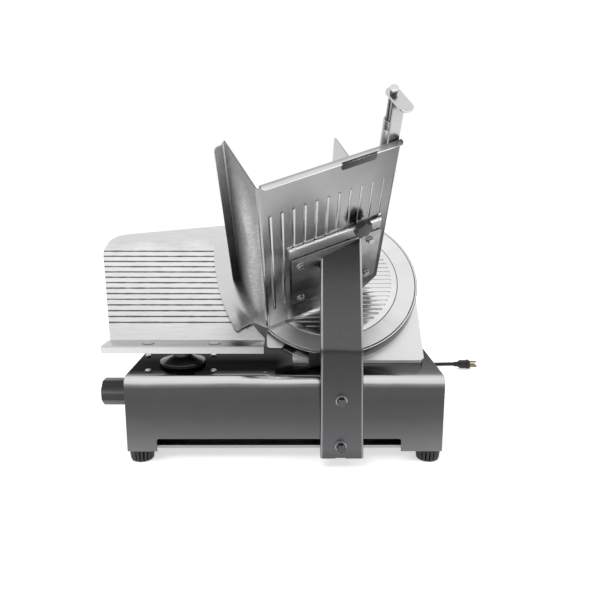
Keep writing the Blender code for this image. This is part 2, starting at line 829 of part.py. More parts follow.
# Carriage motor, its two pulleys and the belt
motor_y = plate_back_y + gap
turned("carriage_motor", [
    (0, drive_motor_bore), (drive_shaft + running, drive_motor_bore), (drive_shaft + running, 0),
    (drive_motor_radius, 0), (drive_motor_radius, drive_motor_length), (0, drive_motor_length)], machine,
    "motor", (drive_x, motor_y, belt_z), along_y, steps=40)
half_pulley = drive_width / 2
for name, x, tail in (("drive_pulley", drive_x, drive_shaft_out),
                      ("idler_pulley", -drive_x, end_plate_y + end_plate - belt_y - running)):
    turn_frame = frame(name + "_turn", (x, belt_y, belt_z), along_y, machine)
    turned(name, [(0, -half_pulley - drive_shaft), (drive_shaft, -half_pulley - drive_shaft),
                  (drive_shaft, -half_pulley), (drive_radius, -half_pulley), (drive_radius, half_pulley),
                  (drive_shaft, half_pulley), (drive_shaft, tail), (0, tail)], turn_frame, "brushed",
           steps=32)
drive_ends = ((-drive_x, belt_z, drive_radius), (drive_x, belt_z, drive_radius))
belt_span = (belt_y - belt_width / 2, belt_y + belt_width / 2)
carriage_belt = slab("carriage_belt", belt_loop(drive_ends, gap + belt_thick, 16), *belt_span, "XZ", machine,
                     "rubber")
combine(carriage_belt, slab("cut_carriage_belt", belt_loop(drive_ends, gap, 16), belt_span[0] - overrun,
                            belt_span[1] + overrun, "XZ", machine))

# Carriage: block on the slide rod, outrigger with its roller, foot bar out through the front slot
carriage = frame("carriage", (carriage_x, slide_y, slide_z), upright, machine)
block_low_z, block_high_z = base_bottom + block_low, base_bottom + block_high
roller_z = base_bottom + roller_rise
on_carriage = frame("carriage_places", (-carriage_x, -slide_y, -slide_z), upright, carriage)
carriage_block = block("carriage_block", (carriage_x - block_half, carriage_x + block_half),
                       (block_front, block_rear), (block_low_z, block_high_z), on_carriage, "motor")
join(carriage_block, block("outrigger_shape", (carriage_x - outrigger_half, carriage_x + outrigger_half),
                           (block_rear - overrun * 2, outrigger_rear),
                           (roller_z - outrigger_thick / 2, roller_z + outrigger_thick / 2), on_carriage))
clamp_top = belt_z - drive_radius - gap * 2 - belt_thick
join(carriage_block, block("belt_clamp_shape", (carriage_x - clamp_half, carriage_x + clamp_half), belt_span,
                           (roller_z, clamp_top), on_carriage))
pin_end = rail_y + roller_width / 2 + overrun / 3
join(carriage_block, peg("roller_pin_shape", roller_pin, -outrigger_thick / 2, pin_end - outrigger_rear,
                         on_carriage, (carriage_x, outrigger_rear, roller_z), along_y))
combine(carriage_block, peg("cut_block_bore", slide_radius + gap, -block_half - overrun,
                            block_half + overrun, on_carriage, (carriage_x, slide_y, slide_z), along_x))
roller_turn = frame("roller_turn", (carriage_x, rail_y, roller_z), along_y, on_carriage)
half_roller = roller_width / 2
turned("guide_roller", [(roller_pin + gap, -half_roller), (roller_radius, -half_roller),
                        (roller_radius, half_roller), (roller_pin + gap, half_roller)], roller_turn, "black",
       steps=small_steps)

# Bracket that carries the tray arm: upright in front of the base, foot bar bolted under the block
upright_front = -arm_front + arm_sheet + gap
bar_low = base_bottom + foot_bar_low
arm_bracket = block("arm_bracket", (carriage_x - upright_half, carriage_x + upright_half),
                    (upright_front, upright_front + upright_thick), (upright_low, upright_high), on_carriage,
                    "brushed")
join(arm_bracket, block("foot_bar_shape", (carriage_x - foot_bar_half, carriage_x + foot_bar_half),
                        (upright_front + upright_thick / 2, block_rear - gap),
                        (bar_low, bar_low + foot_bar_thick), on_carriage))

# The arm: a folded channel that leans back above its fold, cut to the tray's slope
back_y = -arm_front + arm_depth
mitre = arm_depth * math.tan(arm_lean / 2)
stations = (
    (arm_low, 0, arm_half_low, arm_shift_low), (arm_fold, 0, arm_half_fold, 0),
    (arm_fold + arm_reach * math.cos(arm_lean), arm_reach * math.sin(arm_lean), arm_half_top, -arm_shift_top),
)
loops = []
for level, (z, run, half, shift) in enumerate(stations):
    middle = carriage_x + shift
    lean_here = (0, arm_lean / 2, arm_lean)[level]
    rear = (math.cos(lean_here) * arm_depth / math.cos(lean_here if level == 1 else 0),
            -math.sin(lean_here) * arm_depth / math.cos(lean_here if level == 1 else 0))
    share = arm_sheet / arm_depth
    loops.append([(middle + x, -arm_front + run + rear[0] * depth, z + rear[1] * depth) for x, depth in (
        (-half, 0), (half, 0), (half, 1), (half - arm_sheet, 1), (half - arm_sheet, share),
        (-half + arm_sheet, share), (-half + arm_sheet, 1), (-half, 1))])
arm = skin("arm", loops, on_carriage, "arm_steel")
combine(arm, block("cut_arm_notch", (carriage_x - arm_notch, carriage_x + arm_notch),
                   (-arm_front - overrun, -arm_front + arm_sheet + overrun),
                   (arm_low - overrun, arm_low + arm_notch_height), on_carriage))
for place, z in (("upper", bolt_high), ("lower", bolt_low)):
    face = -arm_front - gap
    turned(f"arm_bolt_{place}", [
        (0, -bolt_washer_thick - bolt_head_height), (bolt_head * 0.86, -bolt_washer_thick - bolt_head_height),
        (bolt_head, -bolt_washer_thick - bolt_head_height + bolt_head / 8), (bolt_head, -bolt_washer_thick),
        (bolt_washer, -bolt_washer_thick), (bolt_washer, 0), (bolt_shank, 0), (bolt_shank, bolt_depth),
        (0, bolt_depth)], on_carriage, "arm_steel", (carriage_x, face, z), along_y, steps=small_steps)
    for piece in (arm, arm_bracket):
        combine(piece, peg(f"cut_bolt_{place}_{piece.name}", bolt_shank + gap, -overrun,
                           bolt_depth + gap * 2, on_carriage, (carriage_x, face, z), along_y))

# Tray frame on the carriage: its corner line starts just in front of the blade's edge plane
corner_z = blade_z - sin_tilt * tray_drop + cos_tilt * tray_clear
tray_tilt = frame("tray_tilt", (blade_x - tray_left, corner_y, corner_z), (tilt, 0, 0), on_carriage)
tray = frame("tray_frame", upright, (0, 0, lean), tray_tilt)
combine(arm, block("cut_arm_top", (-floor_width, floor_width * 2),
                   (-bracket_thick - gap * 2, wall_height), (-floor_length, floor_length), tray))

# Tray bracket under the floor, with its four bolt heads
bracket = block("tray_bracket", (bracket_left, bracket_right), (-bracket_thick - gap, -gap),
                (bracket_low, bracket_high), tray, "polished")
for i, f in enumerate((bracket_left + bracket_bolt_in, bracket_right - bracket_bolt_off)):
    for j, n in enumerate((bracket_low + bracket_bolt_in, bracket_high - bracket_bolt_off)):
        join(bracket, peg(f"bracket_bolt_{i}{j}", bracket_bolt_radius, -overrun / 2, bracket_bolt_height,
                          tray, (f, -bracket_thick - gap, n), (math.pi / 2, 0, 0), steps=12))

# Tray: floor, wall, the wall's flange, the floor's rolled lip and its grip tab, with shallow pressed ribs
floor_outline = [(-sheet, tray_start), (floor_width - floor_chamfer + tray_start, tray_start),
                 (floor_width, floor_chamfer), (floor_width, floor_length), (-sheet, floor_length)]
trough = slab("trough", floor_outline, 0, sheet, "XZ", tray, "polished")
wall_outline = [(0, tray_start), (wall_height, tray_start), (wall_height, wall_length), (0, wall_corner)]
join(trough, slab("wall_shape", wall_outline, -sheet, 0, "YZ", tray))
flange_outline = ([(-sheet / 2, tray_start), (-flange_width, tray_start)]
                  + arc(-flange_width + flange_round, flange_length - flange_round + flange_round / 2,
                        flange_round, *degrees(180, 90), steps=5) + [(-sheet / 2, wall_length - sheet)])
join(trough, slab("flange_shape", flange_outline, wall_height - sheet, wall_height, "XZ", tray))
lip_arc = (-lip_width + lip_round, lip_round)
lip_outline = ([(lip_inset, sheet)] + arc(lip_inset + lip_round, *lip_arc, *degrees(180, 270), steps=4)
               + arc(floor_width - lip_round, *lip_arc, *degrees(270, 360), steps=4)
               + [(floor_width, sheet)])
join(trough, slab("lip_shape", lip_outline, floor_length - sheet, floor_length, "XY", tray))
grip_outline = [(grip_left, floor_length - sheet / 2), (grip_left, floor_length - grip_drop + grip_corner),
                (grip_left + grip_corner, floor_length - grip_drop),
                (grip_right - grip_corner, floor_length - grip_drop),
                (grip_right, floor_length - grip_drop + grip_corner),
                (grip_right, floor_length - sheet / 2)]
join(trough, slab("grip_shape", grip_outline, -lip_width, -lip_width + grip_thick, "XZ", tray))
rib_places = [((rib_first + i * rib_pitch - rib_width / 2, rib_first + i * rib_pitch + rib_width / 2),
               (-overrun, rib_depth), (rib_low, rib_high)) for i in range(rib_count)]
combine(trough, blocks("cut_ribs", rib_places, tray))
stud_n = rail_high + stud_up
slot_ends = ((stud_slot_left, stud_n), (stud_slot_right, stud_n))
slot_radius = stud_radius + running
stud_outline = (arc(*slot_ends[1], slot_radius, *degrees(-90, 90), steps=6)
                + arc(*slot_ends[0], slot_radius, *degrees(90, 270), steps=6))
combine(trough, slab("cut_stud_slot", stud_outline, -overrun, sheet + overrun, "XZ", tray))
half_lug = strip_width / 2
lug_w = push_w + push_rod + sheet
join(trough, block("rod_lug_shape", (push_f - half_lug, push_f + half_lug), (sheet / 2, lug_w),
                   (lug_low, lug_high), tray))
combine(trough, peg("cut_rod_lug", push_rod + gap, lug_low - overrun, lug_high + overrun, tray,
                    (push_f, push_w, 0)))

# Hand guard across the foot of the wall, a finger's width over the gauge
guard_shares = [(0.02, 1.0), (-0.375, 0.978), (-0.754, 0.693), (-0.969, 0.409), (-1.0, 0.209),
                (-0.969, 0.083), (-0.7, 0.088), (-0.38, 0.093), (-0.23, 0.060), (-0.07, 0.008), (0.02, 0.0)]
guard_outline = [(a * guard_side, b * guard_reach) for a, b in guard_shares]
slab("hand_guard", guard_outline, gap, gap + guard_thick, "XY", tray, "cast")

# Rail across the floor below the stud's slot, the fence inside and its star knob outside
block("fence_rail", (rail_left, rail_right), (-rail_thick - gap, -gap), (rail_low, rail_high), tray,
      "polished")
fence_frame = frame("fence_places", upright, upright, tray)
fence_outline = [(fence_clear, fence_low), (fence_height, fence_low),
                 (fence_height, fence_high - fence_corner), (fence_height - fence_corner, fence_high),
                 (fence_clear, fence_high)]
fence = slab("fence", fence_outline, fence_f - sheet / 2, fence_f + sheet / 2, "YZ", fence_frame, "polished")
join(fence, block("fence_foot_shape", (fence_f, fence_f + fence_foot_width),
                  (fence_clear, fence_clear + sheet), (stud_n - fence_foot_half, stud_n + fence_foot_half),
                  fence_frame))
stud_reach = star_stand + star_height / 2
join(fence, peg("fence_stud_shape", stud_radius, -fence_clear - sheet / 2, stud_reach, fence_frame,
                (stud_f, 0, stud_n), (math.pi / 2, 0, 0), steps=16))
star_turn = frame("star_turn", (stud_f, 0, stud_n), (math.pi / 2, 0, 0), fence_frame)
star = slab("fence_knob", waves(star_radius, star_radius * 0.22, 6, 8), star_stand, star_stand + star_height,
            "XY", star_turn, "black")
star_low = rail_thick + gap * 2
join(star, turned("star_neck_shape", [
    (0, star_low), (star_boss, star_low), (star_boss, star_stand + overrun), (0, star_stand + overrun)],
    star_turn, "black", steps=small_steps))
combine(star, peg("cut_star_bore", stud_radius + gap, 0, stud_reach + gap, star_turn, steps=16))

# Rod that guides the pusher, held by the lug below and by the strip's cap above
strip = block("rod_strip", (strip_left, strip_left + strip_width), (sheet + gap, sheet + gap + strip_thick),
              (strip_low, cap_n + cap_thick / 2), tray, "polished")
cap_mid = strip_left + strip_width / 2
cap_outline = (arc(cap_mid, cap_up - cap_half, cap_half, *degrees(0, 180), steps=10)
               + arc(cap_mid, -cap_down + cap_half, cap_half, *degrees(180, 360), steps=10))
join(strip, slab("cap_shape", cap_outline, cap_n, cap_n + cap_thick, "XY", tray))
combine(strip, peg("cut_cap_hole", push_neck + gap, cap_n - overrun, cap_n + cap_thick + overrun, tray,
                   (push_f, push_w, 0)))
nut_low = cap_n + cap_thick + gap
turned("pusher_rod", [
    (0, push_rod_low), (push_rod, push_rod_low), (push_rod, cap_n - gap), (push_neck, cap_n - gap),
    (push_neck, nut_low), (push_nut, nut_low), (push_nut, nut_low + push_nut_height),
    (0, nut_low + push_nut_height)], tray, "brushed", (push_f, push_w, 0), steps=small_steps)

# Pusher: a collar that slides on the rod, and under it the arm that swings over the fence to the plate
pusher_slide = frame("pusher_slide", (push_f, push_w, 0), upright, tray)
rod_bore = push_rod + gap
turned("pusher_collar", [
    (rod_bore, sleeve_high + gap), (sleeve_radius, sleeve_high + gap),
    (sleeve_radius, sleeve_high + collar_height), (rod_bore, sleeve_high + collar_height)], pusher_slide,
    "brushed", steps=small_steps)
pusher_turn = frame("pusher_turn", upright, upright, pusher_slide)
pusher = turned("pusher", [
    (rod_bore, sleeve_low), (hub_radius, sleeve_low), (hub_radius, sleeve_low + hub_height),
    (sleeve_radius, sleeve_low + hub_height), (sleeve_radius, sleeve_high), (rod_bore, sleeve_high)],
    pusher_turn, "cast", steps=small_steps)
pusher_places = frame("pusher_places", (-push_f, -push_w, 0), upright, pusher_turn)
reach_span = (sleeve_low, sleeve_low + reach_n)
reach_outline = [(push_f - reach_thick / 2, push_w + sleeve_radius - sheet),
                 (push_f + reach_thick / 2, push_w + sleeve_radius - sheet),
                 (push_f + reach_thick / 2, reach_w), (hanger_left, reach_w),
                 (hanger_left, reach_w - reach_thick), (push_f - reach_thick / 2, reach_w - reach_thick)]
join(pusher, slab("reach_shape", reach_outline, *reach_span, "XY", pusher_places))
join(pusher, block("hanger_shape", (hanger_left - sheet, hanger_left + hanger_width),
                   (hanger_w, reach_w - sheet), (plate_n_low + plate_n / 2, sleeve_low + reach_n / 2),
                   pusher_places))
join(pusher, block("plate_shape", (plate_f_low, plate_f_high), (plate_w_low, plate_w_high),
                   (plate_n_low, plate_n_low + plate_n), pusher_places))
turned("pusher_handle", [
    (0, 0), (grip_radius * 0.7, 0), (grip_radius, grip_length / 3), (grip_radius, grip_length * 0.8),
    (grip_radius * 0.6, grip_length), (0, grip_length)], pusher_places, "black",
    (grip_f, reach_w + gap, sleeve_low + reach_n / 2), along_y, steps=small_steps)

# Thickness gauge: guide frame and slide under the base top, post up through the slot
gauge = frame("gauge", (-post_x, post_y, base_top), upright, machine)
on_gauge = frame("gauge_places", (post_x, -post_y, -base_top), upright, gauge)
guide_top = inner_top - gap
guide_low = guide_top - guide_thick
guide = block("gauge_guide", (-guide_left, -guide_right), (guide_front, guide_rear), (guide_low, guide_top),
              machine, "motor")
window_x = (-post_x - slide_half_x - running, -post_x + slide_half_x + running)
slide_front, slide_rear = post_y - slide_half_y, post_y + slide_half_y
window_y = (slide_front - overrun, slide_rear + gauge_travel + overrun)
combine(guide, block("cut_guide_window", window_x, window_y, (guide_low - overrun, guide_top + overrun),
                     machine))
slide_top = inner_top - gap
slide_low = slide_top - slide_thick
lug_top = slide_low - guide_ledge
front_lug_y = knob_y + wheel_large + overrun / 2
lug_low_z = knob_z - wheel_small
rear_lug_y = window_y[1] + running
for name, x, y in (
        ("front", (window_x[0] - lug_half, window_x[1] + lug_half), (front_lug_y, front_lug_y + lug_thick)),
        ("rear", (-post_x - lug_half, -post_x + lug_half), (rear_lug_y, rear_lug_y + lug_thick - running)),
        ("knob", (-guide_left + overrun, -guide_left + overrun + lug_thick),
         (knob_y - lug_half, knob_y + lug_half))):
    low = lug_top - lug_half if name == "front" else lug_low_z
    join(guide, block(f"{name}_lug_shape", x, y, (low, lug_top), machine))
join(guide, block("screw_lug_shape", (-post_x - lug_half, -post_x + lug_half),
                  (front_lug_y + running, front_lug_y + lug_thick - running),
                  (lug_low_z, lug_top - lug_half / 2), machine))
screw_hole = screw_radius + running
combine(guide, peg("cut_screw_seats", screw_hole, 0, base_height, machine, (-post_x, knob_y, knob_z),
                   along_y))
combine(guide, peg("cut_knob_seat", knob_shaft + running, -half_base, -guide_left + lug_thick * 2, machine,
                   (0, knob_y, knob_z), along_x))
gauge_slide = block("gauge_slide", (-post_x - slide_half_x, -post_x + slide_half_x),
                    (slide_front, slide_rear), (slide_low, slide_top), on_gauge, "brushed")
disc_low = base_top + gap
cone_low = disc_low + disc_height
post_top = disc_low + post_rise
join(gauge_slide, turned("post_shape", [
    (0, slide_low + slide_thick / 2), (post_radius, slide_low + slide_thick / 2), (post_radius, disc_low),
    (disc_radius, disc_low), (disc_radius, cone_low), (post_radius, cone_low + cone_height),
    (post_radius, post_top), (0, post_top)], on_gauge, at=(-post_x, post_y, 0), steps=40))
join(gauge_slide, block("nut_leg_shape", (-post_x - lug_half, -post_x + lug_half),
                        (nut_leg_front, nut_leg_front + nut_leg_thick), (lug_low_z, slide_low + overrun),
                        on_gauge))
combine(gauge_slide, peg("cut_nut", screw_hole, 0, base_height, on_gauge, (-post_x, knob_y, knob_z),
                         along_y))

# Carrier block, edge bar and ribbed plate on the post
plate_line = blade_z - blade_y - (gauge_thick + gap) / cos_tilt
carrier_low = post_top + gap
fold_y = blade_y - sin_tilt * gauge_drop
fold_z = blade_z - cos_tilt * gauge_drop
bar_under = fold_z - bar_sheet
carrier_front = bar_front + bar_sheet + gap
carrier_step = bar_under - gap
carrier_rear = carrier_front + carrier_foot
slab("gauge_carrier", [
    (carrier_front, carrier_low), (carrier_rear, carrier_low), (carrier_rear + carrier_run, carrier_top),
    (carrier_top - plate_line, carrier_top), (carrier_step - overrun - plate_line, carrier_step - overrun),
    (carrier_step - overrun * 1.8 - plate_line, carrier_step), (carrier_front, carrier_step)],
    -carrier_left, -carrier_right, "YZ", on_gauge, "cast")
bar_rear = fold_y - gap * 2
slab("gauge_bar", [
    (bar_front, fold_z - bar_drop), (bar_front + bar_sheet, fold_z - bar_drop),
    (bar_front + bar_sheet, bar_under), (bar_rear, bar_under), (bar_rear, fold_z), (bar_front, fold_z)],
    -bar_left, -bar_right, "YZ", on_gauge, "cast")
gauge_frame = frame("gauge_blade_frame", (blade_x, blade_y, blade_z), (tilt, 0, 0), on_gauge)
clip_up = math.sqrt(gauge_arc_radius ** 2 - gauge_clip ** 2)
clip_angle = math.atan2(clip_up, -gauge_clip)
top_v = gauge_height - gauge_drop
corner_shares = [(1.0, -0.461), (1.0, -0.53), (0.982, -0.706), (0.944, -0.803), (0.885, -0.844)]
left_corner = [(-gauge_tip * a, -gauge_drop * b) for a, b in corner_shares]
gauge_outline = ([(-gauge_tip + gauge_foot_in, -gauge_drop)] + left_corner + [(-gauge_clip, top_v)]
                 + arc(0, -gauge_arc_drop, gauge_arc_radius, clip_angle, 2 * math.pi - clip_angle, steps=20)
                 + [(-gauge_clip, -gauge_drop)])
gauge_plate = slab("gauge_plate", gauge_outline, -gauge_thick, 0, "XY", gauge_frame, "cast")
groove_places = [((-gauge_tip - overrun, -groove_end),
                  (groove_first - i * groove_pitch - groove_width / 2,
                   groove_first - i * groove_pitch + groove_width / 2), (-groove_depth, overrun))
                 for i in range(groove_count)]
combine(gauge_plate, blocks("cut_grooves", groove_places, gauge_frame))

# Thickness knob with its shaft and mitre wheel, and the screw that moves the slide
knob_turn = frame("knob_turn", (-half_base, knob_y, knob_z), along_x, machine)
octagon = [(knob_radius * math.cos(a), knob_radius * math.sin(a))
           for a in (2 * math.pi * (i + 0.5) / knob_sides for i in range(knob_sides))]
knob = slab("thickness_knob", octagon, -knob_length, -gap * 2, "XY", knob_turn, "black")
wheel_at = half_base - post_x
join(knob, turned("knob_shaft_shape", [
    (0, -overrun), (knob_shaft, -overrun), (knob_shaft, wheel_at - wheel_large),
    (wheel_large - gap, wheel_at - wheel_large), (wheel_small - gap, wheel_at - wheel_small),
    (0, wheel_at - wheel_small)], knob_turn, steps=32))
screw_turn = frame("screw_turn", (-post_x, knob_y, knob_z), along_y, machine)
turned("gauge_screw", [
    (0, wheel_small), (wheel_small - gap, wheel_small), (wheel_large - gap, wheel_large),
    (screw_radius, wheel_large), (screw_radius, screw_length), (0, screw_length)], screw_turn, "brushed",
    steps=32)

# Black buffer block under the guard ring's lowest part
def under_ring(z):
    return blade_y - (plate_radius + gap) / cos_tilt - (z - blade_z) * sin_tilt / cos_tilt


buffer_low = base_top + buffer_rise
buffer_mid = blade_z - (plate_radius + gap + ring_front) * sin_tilt
buffer_top = buffer_low + buffer_height
slab("ring_buffer", [(buffer_front, buffer_low), (under_ring(buffer_low), buffer_low),
                     (under_ring(buffer_mid), buffer_mid), (under_ring(buffer_mid) - ring_front, buffer_top),
                     (buffer_front, buffer_top)], buffer_left, buffer_left + buffer_width, "YZ", machine,
     "black")

# Switch on the right wall with its two push buttons
switch_in = half_base + gap
switch_out = switch_in + switch_depth
switch_z = base_top - switch_drop
switch = block("switch_box", (switch_in, switch_out), (switch_y - switch_width / 2,
                                                       switch_y + switch_width / 2),
               (switch_z - switch_height / 2, switch_z + switch_height / 2), machine, "black")
for name, share, finish in (("start_button", button_share, "green"),
                            ("stop_button", 1 - button_share, "red")):
    y = switch_y + switch_width * (share - 0.5)
    half = button_size / 2
    push = frame(name + "_push", (switch_out, y, switch_z), upright, machine)
    block(name, (-button_in, button_out), (-half, half), (-half, half), push, finish)
    pocket = half + running
    combine(switch, block(f"cut_{name}", (switch_out - switch_pocket, switch_out + overrun),
                          (y - pocket, y + pocket), (switch_z - pocket, switch_z + pocket), machine))

# Cord: gland in the base's rear wall, a lead to the coil, the coil, its tie, and a tail to the plug
outer_y = base_depth + gap
turned("cable_gland", [
    (0, -base_wall - overrun), (gland_stub, -base_wall - overrun), (gland_stub, 0), (gland_radius, 0),
    (gland_radius, gland_nut), (gland_stub + running * 2, gland_nut + running * 2),
    (cord_radius + running, gland_length), (0, gland_length)], machine, "black",
    (-gland_x, outer_y, gland_z), along_y, steps=small_steps)


def smooth(points, spacing):
    """Points at an even spacing along a smooth curve through the given points, by their arc length."""
    route = np.array(points, float)
    padded = np.vstack([2 * route[0] - route[1], route, 2 * route[-1] - route[-2]])
    dense = []
    for a, b, c, d in zip(padded, padded[1:], padded[2:], padded[3:]):
        for t in np.linspace(0, 1, 40, endpoint=False):
            dense.append(0.5 * (2 * b + (c - a) * t + (2 * a - 5 * b + 4 * c - d) * t ** 2
                                + (3 * b - a - 3 * c + d) * t ** 3))
    dense = np.array(dense + [route[-1]])
    along = np.concatenate([[0], np.cumsum(np.linalg.norm(np.diff(dense, axis=0), axis=1))])
    count = max(2, int(round(along[-1] / spacing)) + 1)
    places = np.linspace(0, along[-1], count)
    return np.stack([np.interp(places, along, dense[:, k]) for k in range(3)], axis=1), along[-1]


def tube(name, points, sides, finish):
    """A round cord along the points, both ends filled."""
    curve = bpy.data.curves.new(name, "CURVE")
    curve.dimensions = "3D"
    curve.bevel_depth = cord_radius
    curve.bevel_resolution = sides
    curve.use_fill_caps = True
    spline = curve.splines.new("POLY")
    spline.points.add(len(points) - 1)
    for point, place in zip(spline.points, points):
        point.co = (*place, 1)
    obj = bpy.data.objects.new(name, curve)
    bpy.context.scene.collection.objects.link(obj)
    obj.parent = machine
    colour(obj, finish)
    return obj


def coil_place(angle):
    """A place on the coil: it spirals in over half of its turns, climbs a layer and spirals out again."""
    middle = math.pi * coil_turns
    inward = middle - abs(angle - middle)
    radius = coil_radius - coil_pitch * inward / (2 * math.pi)
    climb = min(max((angle - middle) / math.pi + 0.5, 0), 1)
    z = coil_low + coil_pitch * (0.5 - 0.5 * math.cos(math.pi * climb))
    heading = angle - math.pi / 2
    return (coil_x + radius * math.cos(heading), coil_y + radius * math.sin(heading), z)


coil_low = tie_thick + gap + cord_radius
straight = 2 * cord_radius
start = (coil_x, coil_y - coil_radius)
rings = [coil_place(2 * math.pi * i / coil_points) for i in range(coil_turns * coil_points + 1)]
lead_in = (start[0] - straight, start[1], coil_low)
lead_out = (start[0] + straight, start[1], coil_low + coil_pitch)
coil_route = [lead_in] + rings + [lead_out]
tube("cord_coil", coil_route, 1, "rubber")
coil_array = np.array(coil_route)
steps_apart = coil_points // 3
least = min(np.linalg.norm(coil_array[i + steps_apart:] - coil_array[i], axis=1).min()
            for i in range(len(coil_array) - steps_apart))
print("cord_coil: least gap to itself %.2f mm" % ((least - 2 * cord_radius) * 1000))

lead_route = [(-gland_x, outer_y + gland_length + gap, gland_z),
              (-gland_x, outer_y + gland_length + gap + straight, gland_z),
              (-0.119, 0.492, 0.042), (-0.113, 0.514, 0.024), (-0.100, 0.530, 0.010), (-0.078, 0.5385, 0.005),
              (-0.050, 0.5405, cord_radius), (-0.015, 0.5405, cord_radius), (0.020, 0.5405, 0.0053),
              (lead_in[0] - gap - straight, lead_in[1], lead_in[2]),
              (lead_in[0] - gap, lead_in[1], lead_in[2])]
plug_back = plug_x - straight
tail_route = [(lead_out[0] + gap, lead_out[1], lead_out[2]),
              (lead_out[0] + gap + straight, lead_out[1], lead_out[2]), (0.105, 0.5385, 0.0105),
              (0.135, 0.534, 0.0052), (0.175, 0.531, cord_radius), (0.230, 0.534, cord_radius),
              (0.285, 0.541, cord_radius), (0.330, 0.543, 0.0048), (0.365, 0.5365, 0.007),
              (0.388, 0.527, 0.0105), (plug_back - gap - straight, plug_y, plug_z),
              (plug_back - gap, plug_y, plug_z)]
lengths = []
for name, route in (("cord_lead", lead_route), ("cord_tail", tail_route)):
    points, length = smooth(route[1:-1], 2.4 * 2 * cord_radius)
    tube(name, [route[0], *points, route[-1]], 2, "rubber")
    lengths.append(length + 2 * straight)
lengths.append(np.linalg.norm(np.diff(coil_array, axis=0), axis=1).sum())
print("cord: %.2f m in all" % sum(lengths))

# Tie round the coil's far side
inner_coil = coil_radius - coil_pitch * coil_turns / 2
tie_y = (coil_y + inner_coil - cord_radius - tie_clear, coil_y + coil_radius + cord_radius + tie_clear / 2)
tie_top = coil_low + coil_pitch + cord_radius + tie_clear / 2
tie_half = tie_width / 2
tie = block("cord_tie", (coil_x - tie_half, coil_x + tie_half), (tie_y[0] - tie_thick, tie_y[1] + tie_thick),
            (0, tie_top + tie_thick), machine, "white")
combine(tie, block("cut_tie", (coil_x - tie_width, coil_x + tie_width), tie_y, (tie_thick, tie_top), machine))

# Plug: moulded body with its collar, two blades and an earth pin
plug_frame = frame("plug_places", (plug_back, plug_y, plug_z), along_x, machine)
half_w, half_h = plug_width / 2, plug_height / 2


def plug_ring(width, height, at, corner_share=0.35):
    corner = corner_share * min(width, height)
    x, y = height - corner, width - corner
    outline = []
    for i, (a, b) in enumerate(((x, y), (-x, y), (-x, -y), (x, -y))):
        outline += arc(a, b, corner, *degrees(90 * i, 90 * i + 90), steps=3)
    return [(a, b, at) for a, b in outline]


collar = cord_radius + running * 3
plug = skin("plug", [
    plug_ring(cord_radius + running, cord_radius + running, 0), plug_ring(collar, collar, straight / 2),
    plug_ring(half_w * 0.82, half_h * 0.8, straight * plug_neck_at), plug_ring(half_w, half_h, straight * plug_full_at),
    plug_ring(half_w, half_h, straight + plug_length)], plug_frame, "black")
face_at = straight + plug_length
prong_span = (-(earth_offset + prong_width) / 2, (prong_width - earth_offset) / 2)
for i, y in enumerate((-prong_apart / 2, prong_apart / 2)):
    join(plug, block(f"prong_shape_{i}", prong_span, (y - prong_thick / 2, y + prong_thick / 2),
                     (face_at - overrun, face_at + prong_length), plug_frame))
join(plug, peg("earth_pin_shape", earth_radius, face_at - overrun, face_at + prong_length, plug_frame,
               (earth_offset, 0, 0), steps=12))
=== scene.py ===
"""Automatic meat slicer on a pale studio floor, built around its fixed frame. The sections follow the machine
as it is put together: cord, base, housing, blade, switch, gauge, arm, tray, fence, rod and pusher."""
import math

import bpy
import numpy as np
from mathutils import Matrix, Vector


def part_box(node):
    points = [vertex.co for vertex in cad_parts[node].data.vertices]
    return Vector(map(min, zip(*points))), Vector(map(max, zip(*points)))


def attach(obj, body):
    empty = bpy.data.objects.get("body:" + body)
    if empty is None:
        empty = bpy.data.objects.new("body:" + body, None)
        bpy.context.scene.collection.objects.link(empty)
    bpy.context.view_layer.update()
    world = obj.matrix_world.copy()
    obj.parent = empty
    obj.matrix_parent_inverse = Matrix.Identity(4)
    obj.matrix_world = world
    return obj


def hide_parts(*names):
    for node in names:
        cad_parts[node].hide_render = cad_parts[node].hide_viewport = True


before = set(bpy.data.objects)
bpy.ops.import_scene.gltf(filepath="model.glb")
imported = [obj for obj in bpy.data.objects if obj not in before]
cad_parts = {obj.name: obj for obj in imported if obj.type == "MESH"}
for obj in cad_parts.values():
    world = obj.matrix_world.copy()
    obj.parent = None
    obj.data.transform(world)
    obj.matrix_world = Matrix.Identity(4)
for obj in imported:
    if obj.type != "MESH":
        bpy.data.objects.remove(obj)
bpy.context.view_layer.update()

# Camera
# The photograph was taken in front of the machine, a little above the tray's foot, looking slightly down. A
# place is an origin and three axes as columns: the machine's has X right from the base's middle, Y back from
# its front face and Z up from the table.
base_low, base_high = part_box("base_shell")
base_half, base_depth = (base_high[0] - base_low[0]) / 2, base_high[1] - base_low[1]
base_bottom, base_top = base_low[2], base_high[2]
machine = (np.array([(base_low[0] + base_high[0]) / 2, base_low[1], 0.0]), np.eye(3))
camera_at = machine[0] + (0.0184, -0.9129, 0.439)
pitch, yaw, roll = math.radians(11.56), math.radians(0.34), math.radians(-0.10)
ahead = np.array([math.sin(yaw) * math.cos(pitch), math.cos(yaw) * math.cos(pitch), -math.sin(pitch)])
level = np.array([math.cos(yaw), -math.sin(yaw), 0.0])
right = math.cos(roll) * level + math.sin(roll) * np.cross(ahead, level)
pose = np.eye(4)
pose[:3, 0], pose[:3, 1], pose[:3, 2], pose[:3, 3] = right, -np.cross(ahead, right), -ahead, camera_at
camera = bpy.data.objects.new("camera", bpy.data.cameras.new("camera"))
bpy.context.scene.collection.objects.link(camera)
photo_size, photo_rise = 600, 10.7
camera.data.lens, camera.data.sensor_width, camera.data.shift_y = 36.48, 36.0, photo_rise / photo_size
camera.data.clip_start, camera.data.clip_end = 0.02, 50
camera.matrix_world = Matrix(pose.tolist())
bpy.context.scene.camera = camera

